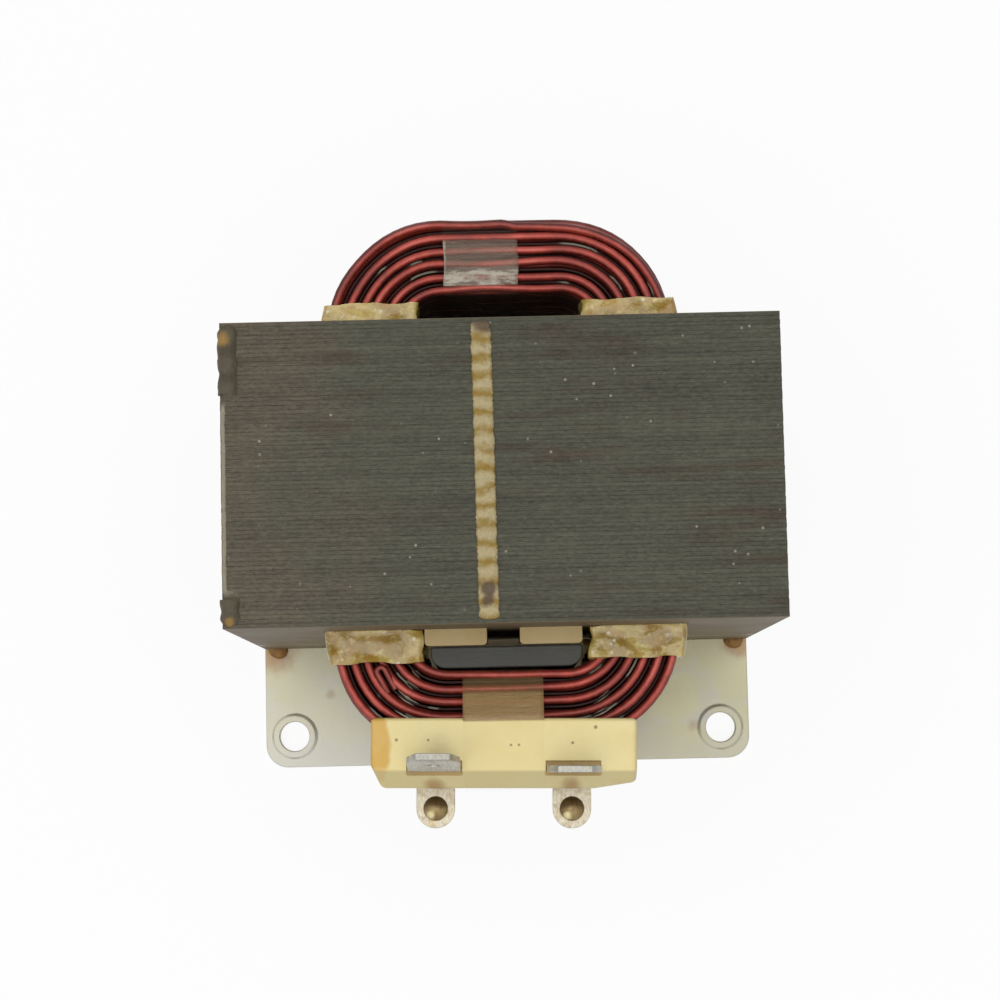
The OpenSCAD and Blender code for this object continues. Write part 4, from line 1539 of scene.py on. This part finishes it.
@dataclass
class TapeBands:
    """Clear film: a band round the back of the winding, and one round its front and over the block."""

    # The winding, the film on it and the block
    crown_y: float = CROWN_Y
    coil_y: float = COIL_Y
    wire_r: float = WIRE_D / 2
    z0: float = COIL_FOOT
    z1: float = COIL_TOP
    layer_pitch: float = LAYER_PITCH
    film: float = 0.06
    lift: float = 0.12
    sag: float = 0.16
    lug_z: float = 38.8
    block_rear: float = 28.74
    block_front: float = 37.36
    block_z0: float = 39.6
    block_top: float = BLOCK_TOP
    slope_d: float = 2.2
    slope_h: float = 3.2
    # The two bands, their bends and the points along them
    back_x: Run = (-6.65, 2.45)
    front_x: Run = (-5.45, 4.25)
    back_bend: float = 0.5
    front_bend: float = 0.3
    bend_points: int = 5
    back_points: int = 40
    front_points: int = 18
    rows: int = 16
    # Creases and ragged edges
    crease: float = 0.03
    crease_length: float = 5.0
    ragged: float = 0.08
    ragged_length: float = 7.0
    ragged_from: float = 0.85
    smooth_deg: float = 60.0

    def back_line(self) -> Array:
        """A rounded rectangle round the winding's section.

        On top and below it dips by sag (1 - cos(2 pi t)) / 2 between wires.

        Returns:
            (points, 2) places, away from the limb and up, closed.
        """
        low = np.array([self.crown_y - self.wire_r, self.z0]) - self.lift
        high = np.array([self.coil_y, self.z1]) + self.lift
        line = rounded_outline(low, high, self.back_bend, self.bend_points, self.back_points)
        dip = self.sag * (1 - np.cos(2 * math.pi * (line[:, 0] - self.crown_y) / self.layer_pitch)) / 2
        above, below = line[:, 1] > high[1] - 0.02, line[:, 1] < low[1] + 0.02
        line[:, 1] += np.where(above, -dip, np.where(below, dip, 0.0))
        return line

    def front_line(self) -> Array:
        """From the winding's face under the block, round the winding, over the block and down its front.

        Every corner is moved outwards by lift (n1 + n2) / (1 + n1 . n2), where n1 and n2 are the
        normals of its two sides.

        Returns:
            (points, 2) places, away from the limb and up, open.
        """
        near, front, top = self.crown_y - self.wire_r, self.block_front, self.block_top
        corners = np.array([
            [self.coil_y, self.lug_z], [self.coil_y, self.z0], [near, self.z0], [near, self.z1],
            [self.block_rear, top], [front - self.slope_d, top], [front, top - self.slope_h],
            [front, self.block_z0],
        ])
        side = unit(np.diff(corners, axis=0))
        normal = np.stack([-side[:, 1], side[:, 0]], axis=-1)
        n1, n2 = np.concatenate([normal[:1], normal]), np.concatenate([normal, normal[-1:]])
        corners = corners + self.lift * (n1 + n2) / (1 + (n1 * n2).sum(axis=1, keepdims=True))
        return rounded_line(corners, self.front_bend, self.bend_points, self.front_points)

    def band(
        self, name: str, node: str, span: Run, end: int, line: Array, closed: bool,
        paint: bpy.types.Material, seed: int,
    ) -> None:
        """Carries a line across X, with creases and a ragged edge, and gives it the film's thickness.

        Args:
            name, node: the piece and the solid it replaces.
            span: its edges in X.
            end: 1 at the back, -1 at the front.
            line, closed: the line, and whether it closes on itself.
            paint: its material.
            seed: which creases.
        """
        x = np.linspace(*span, self.rows)
        rings = np.empty((len(x), len(line), 3))
        rings[..., 0] = x[:, None]
        rings[..., 1:] = line
        creases = wave_field(rings, seed, self.crease_length) * self.crease
        rings[..., 1:] += creases.clip(-self.crease, self.crease)[..., None]
        edge = ease(np.abs(np.linspace(-1, 1, len(x))), self.ragged_from, 1.0)[:, None]
        torn = wave_field(rings[..., 1:], seed + 3, self.ragged_length).clip(-1, 1)
        rings[..., 0] += edge * self.ragged * torn
        rings[..., 1] *= end
        skin = Surface.grid(rings, wrap_v=closed)
        middle = skin.points.mean(axis=0)
        a, b, c = (skin.points[skin.quads[:, k]] for k in range(3))
        if (np.cross(b - a, c - a) * (a - middle)).sum() < 0:
            skin.quads = skin.quads[:, ::-1]
        obj = skin.piece(name, self.smooth_deg)
        wall = obj.modifiers.new("film", "SOLIDIFY")
        wall.thickness = self.film * MM
        wall.offset = 1.0
        finish_piece(obj, paint, Slot.TAPE, node)

    def build(self, front: bpy.types.Material, back: bpy.types.Material) -> None:
        """Builds both bands."""
        self.band("film_back", "tape_back", self.back_x, 1, self.back_line(), True, back, 5)
        self.band("film_front", "tape_front", self.front_x, -1, self.front_line(), False, front, 6)


@dataclass
class SlotShadePlug:
    """Plugs set in the block's two slots, round the terminals' shanks, coloured brown as painted shade of
    the slots.
    """

    block_x: float = -0.6
    coil_y: float = COIL_Y
    turn_deg: float = -1.3
    spacing: float = 16.6
    slot_y: float = -2.686
    corner_r: float = 0.05
    corner_points: int = 3
    side_points: int = 6
    smooth_deg: float = 30.0
    steps: tuple[tuple[float, float, float], ...] = (
        (40.4, 3.3, 0.55), (46.6, 3.3, 0.55), (46.62, 3.28, 0.88), (47.05, 3.28, 0.88),
    )

    def build(self, paint: bpy.types.Material) -> None:
        """Two bars, wider near the top, turned with the block.

        A place (x, y) becomes block + (x cos t - y sin t, x sin t + y cos t). Each step gives a
        height and half the bar's width and depth there.

        Args:
            paint: their material.
        """
        t = math.radians(self.turn_deg)
        spin = np.array([[math.cos(t), math.sin(t)], [-math.sin(t), math.cos(t)]])
        block = np.array([self.block_x, -self.coil_y])
        made = []
        for side in (-1, 1):
            middle = np.array([side * self.spacing / 2, self.slot_y])
            rings = []
            for z, *half in self.steps:
                low, high = middle - half, middle + half
                flat = rounded_outline(low, high, self.corner_r, self.corner_points, self.side_points)
                rings.append(np.concatenate([flat @ spin + block, np.full((len(flat), 1), z)], axis=1))
            made.append(Surface.loft(np.stack(rings)))
        finish_piece(Surface.group(made).piece("slot_shade_plug", self.smooth_deg), paint, Slot.CREAM)


@dataclass
class Welds:
    """Beads on the core: a seam on top, lumps on the left edge, beads at the joint, tacks at the feet."""

    # The core and the plate
    half_w: float = CORE_HALF_W
    half_d: float = CORE_HALF_D
    top_z: float = CORE_TOP
    joint_z: float = 12.4
    plate_t: float = PLATE_T
    # Every bead
    ripple: float = RIPPLE
    stations: int = 340
    sides: int = 20
    sink: float = 0.06
    # The seam on top
    seam_x: float = -2.1
    seam_w: float = 2.7
    seam_h: float = 0.45
    seam_short: float = 0.4
    seam_beat: float = 0.06
    seam_lean: float = 0.3
    # The joint's two beads
    joint_w: float = 2.9
    joint_h: float = 0.48
    joint_short: float = 1.5
    joint_beat: float = 0.3
    # The left edge: a thin run and its two lumps
    run_r: float = 0.34
    run_drop: float = 0.24
    run_stations: int = 170
    run_short: float = 0.02
    run_tip: float = 1.1
    run_ripple: float = 2.0
    lump_r: float = 0.96
    lump_in: float = 0.66
    lump_drop: float = 0.38
    lump_back: Run = (8.2, 9.4)
    lump_front: Run = (13.4, 14.4)
    # The four tacks
    tack_r: float = 1.3
    tack_in: float = 1.8
    tack_share: Run = (0.5, 0.9)
    smooth_deg: float = 60.0

    def bead(
        self, half_l: float, width: float, height: float, seed: int, beat: float, lean: float = 0.0,
    ) -> Array:
        """A rippled bead along Y on a face at Z 0.

        At each station the section is x = w cos a, z = h sin a above the face, with h swelling by
        the ripple |sin(pi y / ripple)| and w and h wandering with a random field; both ends close.

        Args:
            half_l: half its length.
            width, height: of its section.
            seed: which unevenness.
            beat: how strong its ripple is.
            lean: how far its middle drifts in X from its back end to its front end.

        Returns:
            (stations, points, 3) places.
        """
        y = np.linspace(-half_l, half_l, self.stations)
        line = np.stack([y, y * 0, y * 0], -1)
        close = np.clip(1 - (np.abs(y) / half_l) ** 90, 0, 1) ** 0.5 + 0.02
        ripple = beat * np.abs(np.sin(math.pi * (y / self.ripple + 0.25 * wave_field(line, seed, 6.0))))
        wide = 0.89 - beat / 3 + ripple / 3 + 0.035 * wave_field(line, seed + 1, 0.5)
        tall = 0.9 - beat + ripple + 0.1 * wave_field(line, seed + 2, 2.0)
        w = width / 2 * wide.clip(0.6, 1.0) * close
        h = height * tall.clip(0.3, 1.0) * close
        a = np.linspace(0, 2 * math.pi, self.sides, endpoint=False)
        drift = 0.02 * wave_field(line, seed + 4, 4.0) - lean * y / (2 * half_l)
        x = w[:, None] * np.cos(a) + drift[:, None]
        z = np.where(np.sin(a) > 0, h[:, None] * np.abs(np.sin(a)) ** 0.4, -self.sink)
        return np.stack([x, np.broadcast_to(y[:, None], x.shape), z], axis=-1)

    def seam(self) -> Surface:
        """The bead along the stack on the top face.

        Returns:
            The bead.
        """
        half_l = self.half_d - self.seam_short
        rings = self.bead(half_l, self.seam_w, self.seam_h, 201, self.seam_beat, self.seam_lean)
        return Surface.loft(rings + np.array([self.seam_x, 0, self.top_z]))

    def edge(self) -> Surface:
        """The left top edge: a thin run with a lump at each end, as circles along Y of changing radius.

        The radius is run_r + lump_r * lump, with lump easing from 0 to 1 towards both ends, times
        a ripple, and it closes as a root towards the tips.

        Returns:
            The bead.
        """
        half_l = self.half_d - self.run_short
        y = np.linspace(-half_l, half_l, self.run_stations)
        line = np.stack([y, y * 0, y * 0], -1)
        lump = np.maximum(ease(y, *self.lump_back), ease(-y, *self.lump_front))
        tip = np.clip((self.half_d - np.abs(y)) / self.run_tip, 0.0, 1.0) ** 0.5
        beat = 0.9 + 0.1 * np.abs(np.sin(math.pi * y / self.run_ripple)) + 0.05 * wave_field(line, 301, 2.4)
        radius = (self.run_r + self.lump_r * lump) * beat.clip(0.8, 1.0) * (0.15 + 0.85 * tip)
        wander = 0.04 * (1 + lump) * wave_field(line, 305, 5.0)
        x = -self.half_w + self.run_r + self.lump_in * lump + wander
        z = self.top_z - self.run_drop - self.lump_drop * lump
        return Surface.loft(tube_rings(np.stack([x, y, z], axis=-1), radius, self.sides, UP))

    def joint(self, side: int) -> Surface:
        """The bead along the joint on one side of the core.

        Args:
            side: 1 on the right, -1 on the left.

        Returns:
            The bead, laid on its side.
        """
        half_l = self.half_d - self.joint_short
        flat = self.bead(half_l, self.joint_w, self.joint_h, 210 + side, self.joint_beat)
        x, z = side * (self.half_w + flat[..., 2]), self.joint_z + flat[..., 0]
        return Surface.loft(np.stack([x, flat[..., 1], z], axis=-1))

    def tacks(self) -> Surface:
        """Four blobs in the corners between the core's feet and the plate.

        Each is a ball, (sin t cos a, sin t sin a, cos t) times a radius that wanders with a random
        field, flattened above and below by different shares.

        Returns:
            All blobs as one surface.
        """
        a = np.linspace(0, 2 * math.pi, 24, endpoint=False)
        t = np.linspace(0.02, math.pi - 0.02, 14)[:, None]
        ball = np.stack([np.sin(t) * np.cos(a), np.sin(t) * np.sin(a), np.cos(t) + 0 * a], axis=-1)
        flat = np.where(ball[..., 2:] < 0, *self.tack_share)
        squashed = np.concatenate([np.ones_like(ball[..., :2]), flat], axis=-1)
        made = []
        for seed, (sx, sy) in enumerate(((-1, -1), (1, -1), (-1, 1), (1, 1))):
            bumps = 1 + 0.07 * wave_field(ball * self.tack_r, 600 + seed, 2.2)
            middle = np.array([sx * (self.half_w - self.tack_in), sy * self.half_d, self.plate_t])
            made.append(Surface.loft(middle + self.tack_r * bumps[..., None] * ball * squashed))
        return Surface.group(made)

    def build(self, seam: bpy.types.Material, steel: bpy.types.Material, foot: bpy.types.Material) -> None:
        """Builds all beads.

        Args:
            seam, steel, foot: the materials of the seam, of the edge and joint, and of the tacks.
        """
        beads = (
            ("seam_bead", "top_seam_weld", self.seam(), seam),
            ("edge_bead", "left_edge_weld", self.edge(), steel),
            ("joint_bead_left", "joint_weld_left", self.joint(-1), steel),
            ("joint_bead_right", "joint_weld_right", self.joint(1), steel),
            ("foot_tacks", "plate_tack_welds", self.tacks(), foot),
        )
        for name, node, skin, paint in beads:
            finish_piece(skin.piece(name, self.smooth_deg), paint, Slot.WELD, node)


@dataclass
class Studio:
    """Pale floor, one large soft lamp overhead, even fill, and the camera."""

    floor_half: float = 2500.0
    floor_z: float = -0.05
    floor_level: float = 0.98
    floor_rough: float = 0.9
    floor_glow: float = 0.9
    camera_mm: tuple[float, float, float] = (-0.8066, -33.9678, 362.9975)
    camera_deg: tuple[float, float, float] = (5.65295, 0.05331, -1.28477)
    lens: float = 94.897
    sensor: float = 36.0
    clip_m: float = 0.01
    lamp_mm: tuple[float, float, float] = (-120.0, -160.0, 900.0)
    lamp_size: float = 1300.0
    lamp_watts: float = 8.0
    fill: float = 0.4

    def seen(self, tree: bpy.types.NodeTree) -> bpy.types.NodeSocket:
        """A value that is 1 for rays from the camera, a mirror or glass, and 0 for light on the object.

        Args:
            tree: the nodes it is added to.

        Returns:
            Its socket.
        """
        path = tree.nodes.new("ShaderNodeLightPath")
        total = path.outputs["Is Camera Ray"]
        for name in ("Is Glossy Ray", "Is Transmission Ray"):
            larger = tree.nodes.new("ShaderNodeMath")
            larger.operation = "MAXIMUM"
            tree.links.new(total, larger.inputs[0])
            tree.links.new(path.outputs[name], larger.inputs[1])
            total = larger.outputs[0]
        return total

    def world(self) -> None:
        """Even light all round, white where it is looked at."""
        world = bpy.data.worlds.new("studio")
        bpy.context.scene.world = world
        world.use_nodes = True
        tree = world.node_tree
        tree.nodes.clear()
        out = tree.nodes.new("ShaderNodeOutputWorld")
        light = tree.nodes.new("ShaderNodeBackground")
        light.inputs["Strength"].default_value = self.fill
        shown = tree.nodes.new("ShaderNodeBackground")
        shown.inputs["Color"].default_value = (1.0, 1.0, 1.0, 1.0)
        blend_shaders(tree, self.seen(tree), light, shown, out)

    def floor(self) -> None:
        """A flat floor that keeps a faint shadow, and is white where it is looked at."""
        edge = np.linspace(-self.floor_half, self.floor_half, 3)
        x, y = np.meshgrid(edge, edge, indexing="ij")
        obj = Surface.grid(np.stack([x, y, np.full_like(x, self.floor_z)], axis=-1)).piece("floor")
        material = bpy.data.materials.new("pale_floor")
        material.use_nodes = True
        tree = material.node_tree
        shader = tree.nodes["Principled BSDF"]
        shader.inputs["Base Color"].default_value = (self.floor_level,) * 3 + (1.0,)
        shader.inputs["Roughness"].default_value = self.floor_rough
        glow = tree.nodes.new("ShaderNodeEmission")
        part = tree.nodes.new("ShaderNodeMath")
        part.operation = "MULTIPLY"
        part.inputs[1].default_value = self.floor_glow
        tree.links.new(self.seen(tree), part.inputs[0])
        blend_shaders(tree, part.outputs[0], shader, glow, tree.nodes["Material Output"])
        obj.data.materials.append(material)

    def lamp(self) -> None:
        """A large square lamp overhead, a little to the front left, aimed at the part."""
        data = bpy.data.lights.new("softbox", "AREA")
        data.shape = "SQUARE"
        data.size = self.lamp_size * MM
        data.energy = self.lamp_watts
        obj = bpy.data.objects.new("softbox", data)
        x, y, z = self.lamp_mm
        obj.location = np.array(self.lamp_mm) * MM
        obj.rotation_euler = (-math.atan2(-y, z), math.atan2(x, z), 0.0)
        obj.visible_camera = False
        bpy.context.scene.collection.objects.link(obj)

    def camera(self) -> None:
        """The camera at the photograph's place, for a square picture."""
        data = bpy.data.cameras.new("camera")
        data.lens = self.lens
        data.sensor_width = self.sensor
        data.clip_start = self.clip_m
        obj = bpy.data.objects.new("camera", data)
        obj.location = np.array(self.camera_mm) * MM
        obj.rotation_euler = np.radians(self.camera_deg)
        bpy.context.scene.collection.objects.link(obj)
        bpy.context.scene.camera = obj

    def build(self) -> None:
        """Sets the picture up."""
        bpy.context.scene.view_settings.view_transform = "Standard"
        self.world()
        self.floor()
        self.lamp()
        self.camera()


def weld_finishes() -> list[bpy.types.Material]:
    """Mixes the finishes of the seam, of the edge and joint, and of the tacks.

    Returns:
        The three materials.
    """
    seam_chars = ((-1.9, 17.8, 2.2), (-1.9, -13.9, 1.3), (-2.1, -15.2, 1.1))
    edge_chars = ((-32.3, 16.2, 3.0), (-32.3, 13.0, 3.0), (-32.3, 10.2, 2.4), (-32.3, -16.0, 3.0))
    finishes = (
        WeldMetal("seam_weld", srgb(172, 158, 120), srgb(136, 110, 46), srgb(74, 58, 48), chars=seam_chars),
        WeldMetal(
            "edge_weld", srgb(152, 143, 124), srgb(126, 117, 99), srgb(66, 58, 42), beat=0.1, metal=0.0,
            stains=((-32.6, 16.0, 1.2), (-32.1, -17.3, 0.8)), chars=edge_chars,
        ),
        WeldMetal("foot_weld", srgb(150, 112, 62), srgb(104, 74, 40), srgb(70, 52, 38)),
    )
    return [finish.material() for finish in finishes]


def film_finishes() -> list[bpy.types.Material]:
    """Mixes the finishes of the front film and the back film.

    Returns:
        The two materials.
    """
    front = ClearTape(
        "tape_front_film", srgb(178, 148, 100), srgb(196, 180, 140), near=25.5, far=28.9, cover=0.42,
        haze=0.12,
    )
    back = ClearTape(
        "tape_back_film", srgb(164, 142, 124), srgb(214, 206, 188), near=23.4, far=29.4, cover=0.2,
        white_to=26.1, highlight_rim_x=-6.6,
    )
    return [front.material(), back.material()]


def main() -> None:
    """Loads the frame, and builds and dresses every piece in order."""
    logging.basicConfig(level=logging.INFO, format="%(name)s: %(message)s")
    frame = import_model()
    nodes = frame["nodes"]
    Studio().build()

    paper = VarnishedPaper().material()
    Core().build(LaminationSteel().material())
    Winding().build(EnamelledWire().material(), LayerInsulation().material())
    SlotLiners().build(paper)
    TapeBands().build(*film_finishes())
    Welds().build(*weld_finishes())
    cream = CreamMoulding("cream_wedge", srgb(184, 161, 110), srgb(168, 140, 86)).material()
    block = BlockMoulding("cream_block", srgb(236, 220, 160), srgb(228, 206, 136)).material()
    tin = TinnedMetal(
        "tinned_tab", srgb(190, 188, 177), srgb(186, 162, 108), srgb(116, 84, 44), bare=0.15, heat=0.3,
        scuffs=1.3,
    ).material()
    joint = TinnedMetal(
        # The solder domes: flux and painted shade at the back, painted highlights at the lower left
        "solder_joint", srgb(154, 139, 100), srgb(144, 120, 74), srgb(82, 62, 36), bare=0.5, heat=0.5,
        flux_and_shade_back=0.85, painted_highlights=((-9.7, -40.35, 0.7), (6.9, -40.75, 0.7)),
    ).material()
    # The slot plugs' brown: painted shade of the slots
    SlotShadePlug().build(CreamMoulding("slot_shade_plug", srgb(170, 140, 82), srgb(132, 104, 56)).material())
    soft = SoftenedSolids(nodes)
    soft.show("base_plate", 0.22, PlatedSteel().material(), Slot.PLATE)
    soft.show("front_filler", 0.25, GreyBoard().material(), Slot.BOARD)
    for side in ("left", "right"):
        soft.show(f"wedge_{side}", 0.3, cream, Slot.CREAM)
    soft.show("terminal_block", 0.75, block, Slot.CREAM, inner=0.1)
    for side in ("left", "right"):
        soft.show(f"terminal_{side}", 0.1, tin, Slot.TERMINAL)
    for node, paint in (("gap_sheet", paper), ("solder_left", joint), ("solder_right", joint)):
        for held in nodes[node].material_slots:
            held.material = paint
        LOG.info("%s: the solid itself, dressed", node)


if __name__ == "__main__":
    main()
